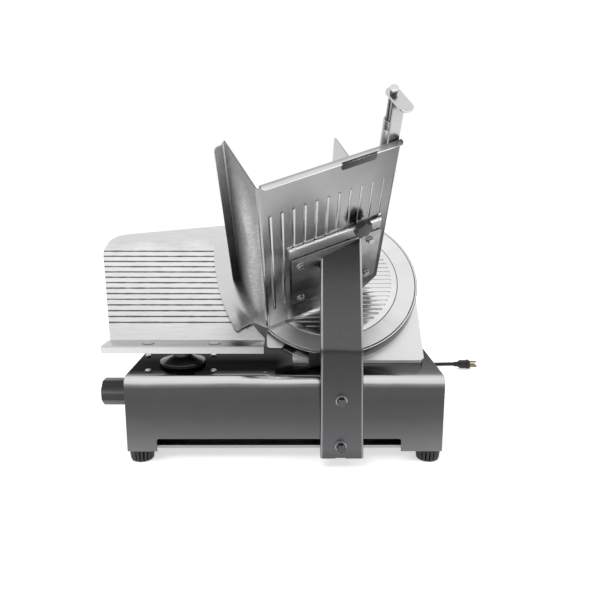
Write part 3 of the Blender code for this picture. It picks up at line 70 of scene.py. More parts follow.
# Mains cord
# A round three-core lead, 9 mm of satin black PVC, 1.85 m long. It leaves the gland, runs down to the table,
# lies in a neat coil of four turns in two layers behind the base, and ends in a moulded plug on the right.


def linear(hex_colour):
    """An sRGB hex colour as linear RGBA: below 0.04045 the value over 12.92, above it a power of 2.4."""
    values = [int(hex_colour[i:i + 2], 16) / 255 for i in (1, 3, 5)]
    return (*[v / 12.92 if v <= 0.04045 else ((v + 0.055) / 1.055) ** 2.4 for v in values], 1.0)


def add(tree, kind, sockets=(), stops=(), **settings):
    """One shader node with its settings. sockets maps an input to a value or to another node's output, and
    stops are a ramp's (position, hex colour) pairs."""
    node = tree.nodes.new("ShaderNode" + kind)
    for key, value in settings.items():
        setattr(node, key, value)
    for key, value in dict(sockets).items():
        if isinstance(value, bpy.types.NodeSocket):
            tree.links.new(value, node.inputs[key])
        else:
            node.inputs[key].default_value = value
    for i, (position, tone) in enumerate(stops):
        step = node.color_ramp.elements[i] if i < 2 else node.color_ramp.elements.new(position)
        step.position, step.color = position, linear(tone)
    return node


def begin(name, place, roughness, metallic):
    """A new finish: its tree, its shader, and a point's coordinates in a place's own axes, in metres."""
    finish = bpy.data.materials.new(name)
    finish.use_nodes = True
    tree = finish.node_tree
    shader = tree.nodes["Principled BSDF"]
    shader.inputs["Roughness"].default_value = roughness
    shader.inputs["Metallic"].default_value = metallic
    a = place[1]
    turns = (math.atan2(a[2, 1], a[2, 2]), -math.asin(a[2, 0]), math.atan2(a[1, 0], a[0, 0]))
    coordinates = add(tree, "TexCoord")
    local = add(tree, "Mapping", {"Vector": coordinates.outputs["Object"], "Location": list(place[0]),
                                  "Rotation": turns}, vector_type="TEXTURE")
    return finish, tree, shader, local.outputs[0]


def moulded(name, tone, worn, roughness, speck=0.0008):
    """Moulded plastic or rubber: one colour with faint wear. The mould's fine even grain, with specks of a
    given size, shows in its roughness and in its bump."""
    finish, tree, shader, local = begin(name, machine, roughness, 0.0)
    patches = add(tree, "TexNoise", {"Vector": local, "Scale": 28.0, "Detail": 4.0})
    tint = add(tree, "ValToRGB", {"Fac": patches.outputs["Fac"]}, stops=[(0.35, tone), (0.75, worn)])
    tree.links.new(tint.outputs["Color"], shader.inputs["Base Color"])
    grain = add(tree, "TexNoise", {"Vector": local, "Scale": 1 / speck, "Detail": 2.0})
    spread = add(tree, "MapRange", {"Value": grain.outputs["Fac"], "From Min": 0.3, "From Max": 0.7,
                                    "To Min": roughness * 0.85, "To Max": roughness * 1.2})
    tree.links.new(spread.outputs["Result"], shader.inputs["Roughness"])
    raised = add(tree, "Bump", {"Height": grain.outputs["Fac"], "Strength": 0.1, "Distance": 0.0002})
    tree.links.new(raised.outputs["Normal"], shader.inputs["Normal"])
    return finish


def smoothed(points, spacing):
    """Points at an even spacing on the Catmull-Rom curve through the given ones: each stretch is a cubic that
    leaves one point towards the next but one."""
    route = np.array(points, float)
    ends = np.vstack([2 * route[0] - route[1], route, 2 * route[-1] - route[-2]])
    a, b, c, d = (ends[i:len(ends) - 3 + i, None, :] for i in range(4))
    t = np.linspace(0, 1, 40, endpoint=False)[None, :, None]
    dense = 0.5 * (2 * b + (c - a) * t + (2 * a - 5 * b + 4 * c - d) * t ** 2
                   + (3 * b - a - 3 * c + d) * t ** 3)
    dense = np.vstack([dense.reshape(-1, route.shape[1]), route[-1:]])
    along = np.concatenate([[0], np.cumsum(np.linalg.norm(np.diff(dense, axis=0), axis=1))])
    places = np.linspace(0, along[-1], int(round(along[-1] / spacing)) + 1)
    return np.stack([np.interp(places, along, dense[:, k]) for k in range(dense.shape[1])], axis=1)


# Where touching pieces meet, they keep a slack of 0.3 mm
cord_radius, cord_length, cord_step, slack = 0.0045, 1.85, 0.016, 0.0003
gland_x, gland_z, gland_length = -0.120, base_bottom + 0.0287, 0.032
coil_x, coil_y, coil_radius, coil_pitch, coil_turns, coil_low = 0.060, 0.600, 0.0595, 0.0096, 4, 0.0060
plug_back, plug_y, plug_z = 0.4046, 0.522, 0.012
cord_exit = (gland_x, base_depth + slack + gland_length + slack, gland_z)

# The coil spirals in over half of its turns, climbs a layer and spirals out again
angle = np.linspace(0, 2 * math.pi * coil_turns, 24 * coil_turns + 1)
inward = math.pi * coil_turns - abs(angle - math.pi * coil_turns)
climb = np.clip((angle - math.pi * coil_turns) / math.pi + 0.5, 0, 1)
radius = coil_radius - coil_pitch * inward / (2 * math.pi)
coil = np.stack([coil_x + radius * np.sin(angle), coil_y - radius * np.cos(angle),
                 coil_low + coil_pitch * (0.5 - 0.5 * np.cos(math.pi * climb))], axis=1)
lead_in = (coil_x - 2 * cord_radius, coil_y - coil_radius, coil_low)
lead_out = (coil_x + 2 * cord_radius, coil_y - coil_radius, coil_low + coil_pitch)
lead = [(gland_x, cord_exit[1] + 2 * cord_radius, gland_z), (-0.119, 0.492, 0.042), (-0.113, 0.514, 0.024),
        (-0.100, 0.530, 0.010), (-0.078, 0.5385, 0.005), (-0.050, 0.5405, 0.0045), (-0.015, 0.5405, 0.0045),
        (0.020, 0.5405, 0.0053), (lead_in[0] - 2 * cord_radius, lead_in[1], lead_in[2])]
tail = [(lead_out[0] + 2 * cord_radius, lead_out[1], lead_out[2]), (0.105, 0.5385, 0.0105),
        (0.135, 0.534, 0.0052), (0.175, 0.531, 0.0045), (0.230, 0.534, 0.0045), (0.285, 0.541, 0.0045),
        (0.330, 0.543, 0.0048), (0.365, 0.5365, 0.007), (0.388, 0.527, 0.0105),
        (plug_back - 2 * cord_radius, plug_y, plug_z)]
route = np.vstack([[cord_exit], smoothed(lead, cord_step), [lead_in], coil, [lead_out],
                   smoothed(tail, cord_step), [(plug_back - slack, plug_y, plug_z)]]) + machine[0]
curve = bpy.data.curves.new("mains_cord", "CURVE")
curve.dimensions, curve.bevel_depth, curve.bevel_resolution, curve.use_fill_caps = "3D", cord_radius, 5, True
line = curve.splines.new("POLY")
line.points.add(len(route) - 1)
line.points.foreach_set("co", np.hstack([route, np.ones((len(route), 1))]).astype(np.float32).ravel())
mains_cord = bpy.data.objects.new("mains_cord", curve)
bpy.context.scene.collection.objects.link(mains_cord)
# PVC sheath, extruded: satin black with a faint bloom
cord_pvc = moulded("cord_pvc_extruded", "#080809", "#131314", 0.5, 0.0012)
curve.materials.append(cord_pvc)
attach(mains_cord, "base")
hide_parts("cord_lead", "cord_coil", "cord_tail")

# Plug, gland and tie of the cord
# The plug is one moulding over the lead's end, with two folded brass blades and a round earth pin. The gland
# is a clamping nut with a ribbed strain relief. The tie is a wrapped nylon band round the coil's far side.


def at(place, point=(0, 0, 0), order="XYZ", turn=0.0):
    """A new place that starts at a point of another, with its axes taken in another order and turned about
    the last of them by an angle."""
    origin, axes = place
    c, s = math.cos(turn), math.sin(turn)
    return (origin + axes @ np.array(point, float),
            axes[:, ["XYZ".index(letter) for letter in order]] @ np.array([[c, -s, 0], [s, c, 0], [0, 0, 1]]))


def loft(rings, wrap=False):
    """Closed rings of equal count, one after the other, as points and faces: a quad between each two
    neighbours on two rings, and a flat cap on the first ring and on the last unless they wrap round."""
    rings = np.asarray(rings, float)
    rows, count = rings.shape[:2]
    i, j = np.arange(rows if wrap else rows - 1)[:, None], np.arange(count)[None, :]
    after, beside = (i + 1) % rows, (j + 1) % count
    faces = np.stack([i * count + j, i * count + beside, after * count + beside, after * count + j],
                     axis=-1).reshape(-1, 4).tolist()
    if not wrap:
        faces += [list(range(count))[::-1], list(range((rows - 1) * count, rows * count))]
    return rings.reshape(-1, 3), faces


def rounded(corners, steps=6):
    """A closed outline through corners (x, y, radius). Each corner becomes the arc that touches both its
    sides: its centre lies on the bisector, at the radius over the sine of half the corner's angle."""
    table = np.array([(*corner, 0.0)[:3] for corner in corners], float)
    point, size = table[:, :2], np.maximum(table[:, 2], 1e-7)
    before, beyond = np.roll(point, 1, 0) - point, np.roll(point, -1, 0) - point
    before /= np.linalg.norm(before, axis=1, keepdims=True)
    beyond /= np.linalg.norm(beyond, axis=1, keepdims=True)
    half = np.arccos(np.clip((before * beyond).sum(1), -0.999999, 0.999999)) / 2
    inner = before + beyond
    inner /= np.linalg.norm(inner, axis=1, keepdims=True)
    centre = point + inner * (size / np.sin(half))[:, None]
    first = point + before * (size / np.tan(half))[:, None] - centre
    last = point + beyond * (size / np.tan(half))[:, None] - centre
    start, end = np.arctan2(first[:, 1], first[:, 0]), np.arctan2(last[:, 1], last[:, 0])
    sweep = (end - start + math.pi) % (2 * math.pi) - math.pi
    turns = start[:, None] + sweep[:, None] * np.linspace(0, 1, steps + 1)
    outline = centre[:, None, :] + size[:, None, None] * np.stack([np.cos(turns), np.sin(turns)], -1)
    outline = outline.reshape(-1, 2)
    return outline[np.linalg.norm(outline - np.roll(outline, 1, 0), axis=1) > 2e-6]


def pane(x, y, corner=0.0, steps=6):
    """A rectangle's outline from its two spans, with its corners rounded."""
    return rounded([(x[0], y[0], corner), (x[1], y[0], corner), (x[1], y[1], corner), (x[0], y[1], corner)],
                   steps)


def facing(outline):
    """The outline's points run anticlockwise, whichever way they came: their area is made positive."""
    outline = np.asarray(outline, float)
    x, y = outline[:, 0], outline[:, 1]
    return outline if (x * np.roll(y, -1) - np.roll(x, -1) * y).sum() > 0 else outline[::-1]


def inset(outline, distance):
    """An anticlockwise outline moved inwards: each point goes along the bisector of its two sides, far enough
    to keep the distance to both."""
    side = np.roll(outline, -1, 0) - outline
    side /= np.linalg.norm(side, axis=1, keepdims=True)
    normal = np.stack([-side[:, 1], side[:, 0]], 1)
    mitre = normal + np.roll(normal, 1, 0)
    return outline + mitre / np.maximum((mitre * normal).sum(1), 0.25)[:, None] * distance


def plate(outline, low, high, edge=0.0005, rounds=3):
    """A flat outline from low to high along Z with its rims rounded: ring by ring, a quarter circle of the
    edge's radius at the bottom, then another at the top."""
    outline = facing(outline)
    quarter = np.linspace(0, math.pi / 2, rounds + 1)
    insets, rise = edge * (1 - np.sin(quarter)), edge * (1 - np.cos(quarter))
    return loft([np.column_stack([inset(outline, d), np.full(len(outline), z)]) for d, z in zip(
        np.concatenate([insets, insets[::-1]]), np.concatenate([low + rise, (high - rise)[::-1]]))])


def lathe(profile, steps=96, wrap=False):
    """A profile of (radius, height) turned round Z. It runs from the bottom of the axis out and up, or wraps
    round a bore anticlockwise, as seen with the axis on its left."""
    turns = np.linspace(0, 2 * math.pi, steps, endpoint=False)
    circle = np.stack([np.cos(turns), np.sin(turns), 0 * turns], 1)
    return loft([circle * max(r, 1e-5) + (0, 0, h) for r, h in profile], wrap)


def peg(radius, low, high, steps):
    """A plain round peg from low to high along Z: a rectangle turned round it."""
    return lathe([(0, low), (radius, low), (radius, high), (0, high)], steps)


def on(place, *shapes):
    """Shapes moved to a place. Where the place's axes are a mirrored set, the faces are turned round."""
    origin, axes = place
    mirrored = np.linalg.det(axes) < 0
    return [(points @ axes.T + origin, [face[::-1] for face in faces] if mirrored else faces)
            for points, faces in shapes]


def copies(place, order, points, *shapes):
    """The same shapes at several points of a place, with its axes taken in one order at each of them."""
    return [shape for point in points for shape in on(at(place, point, order), *shapes)]


def shade(mesh, sharp=35):
    """Shades a mesh smooth, but for edges where two faces meet at more than an angle in degrees."""
    mesh.shade_smooth()
    mesh.set_sharp_from_angle(angle=math.radians(sharp))


def make(name, body, finish, stands_for, shapes, sharp=35):
    """One piece from placed shapes. It rides on a body, takes a finish and stands for nodes, which it hides.
    """
    firsts = np.concatenate([[0], np.cumsum([len(points) for points, _ in shapes])[:-1]])
    mesh = bpy.data.meshes.new(name)
    mesh.from_pydata(np.vstack([points for points, _ in shapes]), [],
                     [[corner + int(first) for corner in face]
                      for first, (_, faces) in zip(firsts, shapes) for face in faces])
    shade(mesh, sharp)
    mesh.materials.append(finish)
    piece = bpy.data.objects.new(name, mesh)
    bpy.context.scene.collection.objects.link(piece)
    if body:
        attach(piece, body)
        if stands_for:
            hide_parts(*stands_for)
    return piece


plug_power, plug_count = 3.2, 48


def oblong(width, height):
    """A superellipse: cosine and sine raised to two over the power, with their signs kept."""
    turns = np.linspace(0, 2 * math.pi, plug_count, endpoint=False)
    c, s = np.cos(turns), np.sin(turns)
    return np.stack([width * np.sign(c) * abs(c) ** (2 / plug_power),
                     height * np.sign(s) * abs(s) ** (2 / plug_power)], 1)


plug_place = at(machine, (plug_back, plug_y, plug_z), "YZX")
plug_rows = [(0.0048, 0.0048, 0.0), (0.0056, 0.0054, 0.0006), (0.0058, 0.0056, 0.006),
             (0.0064, 0.0061, 0.0095), (0.0078, 0.0070, 0.0115), (0.0084, 0.0074, 0.0125),
             (0.0112, 0.0090, 0.0140), (0.0116, 0.0092, 0.0150), (0.0116, 0.0092, 0.0290),
             (0.0120, 0.0095, 0.0300), (0.0128, 0.0103, 0.0308), (0.0128, 0.0103, 0.0352),
             (0.0121, 0.0097, 0.0371)]
# Plug PVC, injection moulded: deep satin black
plug_body = make("plug_body", "base", moulded("plug_pvc_moulded", "#060607", "#101011", 0.5),
                 ("plug",), on(plug_place, loft([
                     np.column_stack([oblong(wide, high), np.full(plug_count, along)])
                     for wide, high, along in plug_rows])), sharp=50)
# Brass of the plug's blades, stamped: warm, with fine lengthwise lines
brass, tree, shader, local = begin("blade_brass_stamped", machine, 0.3, 1.0)
long_lines = add(tree, "VectorMath", {0: local, 1: (300.0, 900.0, 900.0)}, operation="MULTIPLY")
lines = add(tree, "TexNoise", {"Vector": long_lines.outputs[0], "Scale": 1.0})
tint = add(tree, "ValToRGB", {"Fac": lines.outputs["Fac"]}, stops=[(0.3, "#6e6250"), (0.7, "#8f826c")])
tree.links.new(tint.outputs["Color"], shader.inputs["Base Color"])
prong_seat, prong_side, prong_length = 0.0365, 0.00635, 0.0184
prong_outline = pane((-0.00075, 0.00075), (-0.0061, 0.0001), steps=1)
prongs = copies(plug_place, "XYZ", [(-prong_side, 0, prong_seat), (prong_side, 0, prong_seat)],
                plate(prong_outline, 0, prong_length, 0.0005))
earth_pin = on(at(plug_place, (0, 0.006, prong_seat)), lathe([
    (0, 0), (0.0024, 0), (0.0024, 0.0164), (0.0020, 0.0178), (0.0010, 0.0184), (0, 0.0185)], 24))
plug_prongs = make("plug_prongs", "base", brass, (), prongs + earth_pin)
# Gland polyamide, moulded: satin black. Its relief tapers from the nut, and where a sine of the height is
# high, a groove makes it thinner
gland_turns = np.arange(6) * math.pi / 3
relief = [(0.0086 - (h - 0.0085) * 0.150 - 0.0006 * (math.sin(h * 2600) > 0.35), h)
          for h in np.linspace(0.0085, 0.030, 44)]
gland = make("strain_relief", "base", moulded("gland_polyamide_moulded", "#101011", "#1e1e1f", 0.45),
             ("cable_gland",), on(
    at(machine, (gland_x, base_depth + slack, gland_z), "ZXY"),
    plate(np.stack([0.009 * np.cos(gland_turns), 0.009 * np.sin(gland_turns)], 1), 0, 0.0062, 0.0008),
    lathe([(0, 0.003), (0.0078, 0.003), (0.0084, 0.0085)] + relief + [(0.0051, 0.0315), (0, 0.032)], 64),
    peg(0.006, -0.005, 0.001, 48)))
# Tie nylon, woven: off-white with fine cross ribs
tie_nylon, tree, shader, local = begin("tie_nylon_woven", machine, 0.6, 0.0)
weave = add(tree, "TexWave", {"Vector": local, "Scale": 150.0}, bands_direction="DIAGONAL")
tint = add(tree, "ValToRGB", {"Fac": weave.outputs["Fac"]}, stops=[(0.0, "#b9b9b5"), (1.0, "#dcdcd8")])
tree.links.new(tint.outputs["Color"], shader.inputs["Base Color"])
tie_low, tie_high = (np.array(corner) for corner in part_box("cord_tie"))
tie_x, tie_y, tie_z = (tie_high - tie_low) / 2
tie_edge, tie_sheet = 0.0003, 0.0011
band = pane((-tie_y, tie_y), (-tie_z, tie_z), 0.006, 8)
tie = make("cord_wrap", "base", tie_nylon, ("cord_tie",), on(
    at(((tie_low + tie_high) / 2, np.eye(3)), (0, 0, 0), "YZX"), loft([
        np.column_stack([ring, np.full(len(ring), x)]) for ring, x in (
            (band, -tie_x + tie_edge), (band, tie_x - tie_edge), (inset(band, tie_sheet), tie_x - tie_edge),
            (inset(band, tie_sheet), -tie_x + tie_edge))], wrap=True)))

# Studio
# A pale floor that runs on into a white surround, one large soft light overhead in front and two weaker ones
# at the side and behind. The light is plain, so that a colour shows about as it is written.


def calculate(tree, operation, *values):
    """The result of one sum on values and other nodes' outputs, taken in their order."""
    return add(tree, "Math", dict(enumerate(values)), operation=operation).outputs[0]


def seen_rays(tree):
    """One for the rays that show the background, directly or in metal and glass, and nought for the light."""
    rays = add(tree, "LightPath")
    seen = calculate(tree, "MAXIMUM", rays.outputs["Is Camera Ray"], rays.outputs["Is Glossy Ray"])
    return calculate(tree, "MAXIMUM", seen, rays.outputs["Is Transmission Ray"])


floor_reach = 14
floor_mesh = bpy.data.meshes.new("floor")
floor_mesh.from_pydata([(-floor_reach, -floor_reach, 0), (floor_reach, -floor_reach, 0),
                        (floor_reach, floor_reach, 0), (-floor_reach, floor_reach, 0)], [], [(0, 1, 2, 3)])
floor = bpy.data.objects.new("floor", floor_mesh)
bpy.context.scene.collection.objects.link(floor)
# Floor paint, matt: almost pure white
floor_paint, tree, shader, local = begin("floor_paint_matt", machine, 0.9, 0.0)
clouds = add(tree, "TexNoise", {"Vector": local, "Scale": 0.8})
tint = add(tree, "ValToRGB", {"Fac": clouds.outputs["Fac"]}, stops=[(0.0, "#fbfbfb"), (1.0, "#ffffff")])
tree.links.new(tint.outputs["Color"], shader.inputs["Base Color"])
shader.inputs["Specular IOR Level"].default_value = 0.0
shader.inputs["Emission Color"].default_value = linear("#ffffff")
tree.links.new(calculate(tree, "MULTIPLY", seen_rays(tree), 0.5), shader.inputs["Emission Strength"])
floor_mesh.materials.append(floor_paint)

bpy.context.scene.view_settings.view_transform = "Standard"
world = bpy.data.worlds.new("surround")
bpy.context.scene.world = world
world.use_nodes = True
tree = world.node_tree
tree.nodes.clear()
ambient = add(tree, "Background", {"Color": linear("#ffffff"), "Strength": 0.62})
shown = add(tree, "Background", {"Color": linear("#ffffff"), "Strength": 1.0})
either = add(tree, "MixShader", {0: seen_rays(tree), 1: ambient.outputs[0], 2: shown.outputs[0]})
add(tree, "OutputWorld", {"Surface": either.outputs[0]})
for lamp_name, lamp_at, lamp_size, lamp_power in (
        ("key_light", (-0.9, -1.5, 2.3), 1.6, 26), ("fill_light", (1.8, -0.9, 1.5), 1.4, 9),
        ("rear_light", (-0.3, 2.0, 2.2), 1.6, 14)):
    lamp = bpy.data.objects.new(lamp_name, bpy.data.lights.new(lamp_name, "AREA"))
    bpy.context.scene.collection.objects.link(lamp)
    lamp.data.size, lamp.data.energy, lamp.location = lamp_size, lamp_power, lamp_at
    lamp.visible_glossy = False
    lamp.rotation_euler = (-lamp.location).to_track_quat("-Z", "Y").to_euler()

# Base: casing, floor sheet, feet and screws
# The casing is one folded sheet of 2 mm steel with welded ends, dark and glossy, open at its foot and slotted
# along the front for the carriage. A plain sheet closes it below, and it stands on four fluted rubber feet.


def metal(name, place, along, span, tones, roughness, cloud=(9.0, 0.02), brush=((40, 40, 900), 0.05),
          metallic=1.0, other=None, mask=None, edge="#ffffff"):
    """Worked metal. Its tone is a ramp over the distance along an axis, pushed about by slow clouds, and fine
    brushing lines change tone and roughness. other is a second (tones, axis, span) ramp and where it takes
    over, mask makes a factor from the tree and the coordinates that darkens the metal, and edge is the tone
    towards which it reflects at a grazing angle."""
    finish, tree, shader, local = begin(name, place, roughness, metallic)
    shader.inputs["Specular Tint"].default_value = linear(edge)
    slow = add(tree, "TexNoise", {"Vector": local, "Scale": cloud[0], "Detail": 3.0, "Roughness": 0.55})
    shift = calculate(tree, "MULTIPLY_ADD", slow.outputs["Fac"], 2 * cloud[1], -cloud[1])

    def ramp(axis, reach, steps):
        """A point's share of a reach along an axis, moved by the clouds, or with steps its tone there."""
        run = add(tree, "VectorMath", {0: local, 1: axis}, operation="DOT_PRODUCT")
        moved = calculate(tree, "ADD", run.outputs["Value"], shift)
        share = add(tree, "MapRange", {"Value": moved, "From Min": reach[0], "From Max": reach[1]})
        return share.outputs["Result"] if steps is None else add(
            tree, "ValToRGB", {"Fac": share.outputs["Result"]},
            stops=[((position - reach[0]) / (reach[1] - reach[0]), tone) for position, tone in steps]
        ).outputs["Color"]

    tint = ramp(along, span, tones)
    if other:
        second, axis, reach = other
        tint = add(tree, "Mix", {0: ramp(axis, reach, None), 6: tint, 7: ramp(along, span, second)},
                   data_type="RGBA").outputs[2]
    drawn = add(tree, "VectorMath", {0: local, 1: [float(v) for v in brush[0]]}, operation="MULTIPLY")
    fine = add(tree, "TexNoise", {"Vector": drawn.outputs[0], "Scale": 1.0, "Detail": 2.0})
    share = add(tree, "MapRange", {"Value": fine.outputs["Fac"], "From Min": 0.25, "From Max": 0.75,
                                   "To Min": 1 - brush[1], "To Max": 1 + brush[1]}).outputs["Result"]
    if mask:
        share = calculate(tree, "MULTIPLY", share, mask(tree, local))
    final = add(tree, "VectorMath", {0: tint, "Scale": share}, operation="SCALE")
    tree.links.new(final.outputs[0], shader.inputs["Base Color"])
    rough = add(tree, "MapRange", {"Value": fine.outputs["Fac"], "From Min": 0.25, "From Max": 0.75,
                                   "To Min": roughness * 0.88, "To Max": roughness * 1.12})
    tree.links.new(rough.outputs["Result"], shader.inputs["Roughness"])
    return finish


def carve(piece, shapes, how="DIFFERENCE"):
    """Cuts placed shapes out of a piece, or joins them to it, and keeps the result as its mesh."""
    tool = make("tool", None, piece.data.materials[0], (), shapes)
    step = piece.modifiers.new("carve", "BOOLEAN")
    step.operation, step.solver, step.object, step.use_self = how, "EXACT", tool, len(shapes) > 1
    bpy.context.view_layer.update()
    mesh = bpy.data.meshes.new_from_object(piece.evaluated_get(bpy.context.evaluated_depsgraph_get()))
    piece.modifiers.clear()
    shade(mesh)
    piece.data = mesh
    bpy.data.objects.remove(tool)
    return piece


def dress(finish, *names):
    """Gives fixed nodes their finish."""
    for name in names:
        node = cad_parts[name]
        node.data.materials.clear()
        node.data.materials.append(finish)


def sort_faces(piece, place, finishes, rule):
    """Gives each face a finish by its middle, in a place's own axes."""
    mesh = piece.data
    middles = np.empty(len(mesh.polygons) * 3)
    mesh.polygons.foreach_get("center", middles)
    local = (middles.reshape(-1, 3) - place[0]) @ place[1]
    for finish in finishes:
        mesh.materials.append(finish)
    mesh.polygons.foreach_set("material_index", rule(*local.T).astype(np.int32))
    mesh.update()


sheet, base_round, cut_below, cut_edge = 0.002, 0.0137, 0.01, 0.0002
overrun, through = 0.003, 0.005
slot_left, slot_right, slot_top, slot_round = -0.2051, 0.1865, base_bottom + 0.0214, 0.004
knob_y, knob_z, knob_bore, gland_bore = 0.050, base_top - 0.0393, 0.0065, 0.0063
post_x, post_y, post_travel, post_bore, post_round = -0.1735, 0.0776, 0.018, 0.017, 0.0169
# Casing steel, dark and glossy, with painted reflections: the ramp runs back over the top in dark and
# light bands, over a painted highlight on the bend and down the front, lighter towards its foot. A second
# ramp lightens the top's right part as painted reflection
bend_highlight_and_front = [(-0.156, "#c9c9c9"), (-0.146, "#dcdcdc"), (-0.1375, "#d2d2d2"), (-0.1335, "#6a6a6b"),
                  (-0.128, "#464647"), (-0.105, "#444445"), (-0.080, "#4a4a4b"), (-0.055, "#59595a"),
                  (-0.021, "#707071")]
casing_steel = metal(
    "casing_steel_dark_glossy", machine, (0, -1, -1), (-0.36, -0.02), [
        (-0.36, "#58585a"), (-0.29, "#525254"), (-0.235, "#262627"), (-0.185, "#303031"), (-0.168, "#5e5e5f")
    ] + bend_highlight_and_front, 0.16, cloud=(5.0, 0.004), brush=((18, 60, 60), 0.035), edge="#a6a6a6", other=([
        (-0.36, "#58585a"), (-0.29, "#5c5c5e"), (-0.235, "#747475"), (-0.185, "#848485"), (-0.168, "#949495")
    ] + bend_highlight_and_front, (1, 0, 0), (-0.015, 0.04)))
casing_section = rounded([(0, base_bottom), (0, base_top, base_round), (base_depth, base_top, base_round),
                          (base_depth, base_bottom)], 16)
inner_section = rounded([(sheet, base_bottom - cut_below), (sheet, base_top - sheet, base_round - sheet),
                         (base_depth - sheet, base_top - sheet, base_round - sheet),
                         (base_depth - sheet, base_bottom - cut_below)], 12)
casing = make("base_casing", "base", casing_steel, ("base_shell",), on(
    at(machine, order="YZX"), plate(casing_section, -base_half, base_half, 0.0008)))
carve(casing, on(at(machine, order="YZX"),
                 plate(inner_section, -base_half + sheet, base_half - sheet, cut_edge)))
# Its openings: the carriage's slot, the gauge post's slot in the top, and the bores of knob and gland
slot_outline = rounded([(slot_left, base_bottom - cut_below), (slot_left, slot_top, slot_round),
                        (slot_right, slot_top, slot_round), (slot_right, base_bottom - cut_below)])
post_slot = pane((post_x - post_bore, post_x + post_bore),
                 (post_y - post_bore, post_y + post_travel + post_bore), post_round, 12)
carve(casing, on(at(machine, order="XZY"), plate(slot_outline, -overrun, through, cut_edge))
      + on(machine, plate(post_slot, base_top - through, base_top + overrun, cut_edge))
      + on(at(machine, (-base_half, knob_y, knob_z), "YZX"), peg(knob_bore, -overrun, through, 48))
      + on(at(machine, (gland_x, base_depth, gland_z), "ZXY"), peg(gland_bore, -through, overrun, 48)))
# Its sides and back, the same steel: a painted reflection makes them a little lighter downward
casing_sides = metal("casing_steel_dark_sides", machine, (0, 0, 1), (0.02, 0.125), [
    (0.02, "#6a6a6b"), (0.06, "#555556"), (0.10, "#464647"), (0.125, "#505051")], 0.2,
    cloud=(5.0, 0.004), brush=((60, 18, 60), 0.035))
sort_faces(casing, machine, (casing_sides,), lambda x, y, z: np.where(
    (abs(x) > base_half - 0.0005) | (y > base_depth - 0.0005), 1, 0))
# Floor sheet, stainless, brushed: mid grey
floor_sheet = metal("sheet_stainless_brushed", machine, (1, 0, 0), (-0.25, 0.25), [
    (-0.25, "#9a9a9b"), (0.25, "#a6a6a7")], 0.35, brush=((30, 500, 500), 0.06))
dress(floor_sheet, "bottom_plate")

# Feet: round lobes with sharp grooves between them, tapering to a rounded sole
flute_count, flute_power, foot_from_front, foot_from_side = 9, 0.6, 0.022, 0.0185
flutes = np.linspace(0, 2 * math.pi, 216, endpoint=False)


def fluted(reach, deep, z):
    """A foot's outline at one height: its reach, less a depth that grows to full where a cosine crosses
    nought. The cosine's size is raised to a power that keeps the grooves narrow."""
    r = reach - deep * (1 - abs(np.cos(flute_count * flutes)) ** flute_power)
    return np.stack([r * np.cos(flutes), r * np.sin(flutes), np.full(len(flutes), z)], 1)


foot_rows = [fluted(0.0150, 0.0006, 0.0), fluted(0.0172, 0.0016, 0.0006), fluted(0.0184, 0.0028, 0.0022),
             fluted(0.0193, 0.0034, 0.0080), fluted(0.0201, 0.0034, 0.0150), fluted(0.0203, 0.0026, 0.0178),
             fluted(0.0200, 0.0010, 0.0196), fluted(0.0188, 0.0, 0.021)]
# Foot rubber, moulded: black, worn shiny on the flutes
foot_rubber = moulded("foot_rubber_moulded", "#0c0c0d", "#232324", 0.2)
for row, y in (("front", foot_from_front), ("rear", base_depth - foot_from_front)):
    for side, x in (("left", -base_half + foot_from_side), ("right", base_half - foot_from_side)):
        make(f"rubber_foot_{row}_{side}", "base", foot_rubber, (f"foot_{row}_{side}",),
             on(at(machine, (x, y, 0)), loft(foot_rows)), sharp=40)

# Dome screws through the top, each a low turned cap
dome = [(0, -0.001), (0.0052, -0.001), (0.0052, 0.0004), (0.0049, 0.0014), (0.0040, 0.0023), (0.0026, 0.0029),
        (0.0012, 0.0031), (0, 0.00315)]
small_dome = [(r * 0.55, h * 0.55) for r, h in dome]
# Screw steel, chromed: light with dark specks. Painted shade darkens each dome towards its rim, and a
# painted highlight lightens its top
chrome = metal("screw_steel_chromed", machine, (0, 0, 1), (base_top, base_top + 0.003),
               [(base_top, "#4a4a4b"), (base_top + 0.0012, "#8a8a8b"), (base_top + 0.0030, "#e4e4e4")], 0.18,
               cloud=(400.0, 0.0006))
screw_places = [(-0.243, 0.124, dome), (-0.128, 0.127, dome), (-0.222, 0.035, dome), (-0.116, 0.035, dome),
                (-0.032, 0.024, small_dome)]
make("base_screws", "base", chrome, (), [
    shape for x, y, cap in screw_places for shape in on(at(machine, (x, y, base_top)), lathe(cap, 32))])

# Housing plate, guard ring and motor hood
# A cast and polished aluminium plate stands behind the blade on the base. Its front carries the guard ring
# that covers the idle part of the edge, with a tab at its end. Behind it a cast hood covers motor and belt.


def arc(radius, first, last, steps):
    """Points on a circle round the origin, from one angle to another in degrees."""
    turns = np.radians(np.linspace(first, last, steps))
    return np.stack([radius * np.cos(turns), radius * np.sin(turns)], 1)


# The blade's place starts on its axle, is tilted about X, and has Z out of the blade's face
tilt, blade_x, blade_y, blade_z = math.radians(45), 0.080, 0.1693, 0.2751
leaned_back = np.array([[1, 0, 0], [0, math.cos(tilt), -math.sin(tilt)], [0, math.sin(tilt), math.cos(tilt)]])
blade_place = (machine[0] + (blade_x, blade_y, blade_z), leaned_back)
plate_front, plate_thick, plate_radius, ring_inner = 0.024, 0.010, 0.155, 0.1515
plate_left, plate_foot, foot_front, foot_face = -0.098, -0.1906, 0.0788, base_top + slack
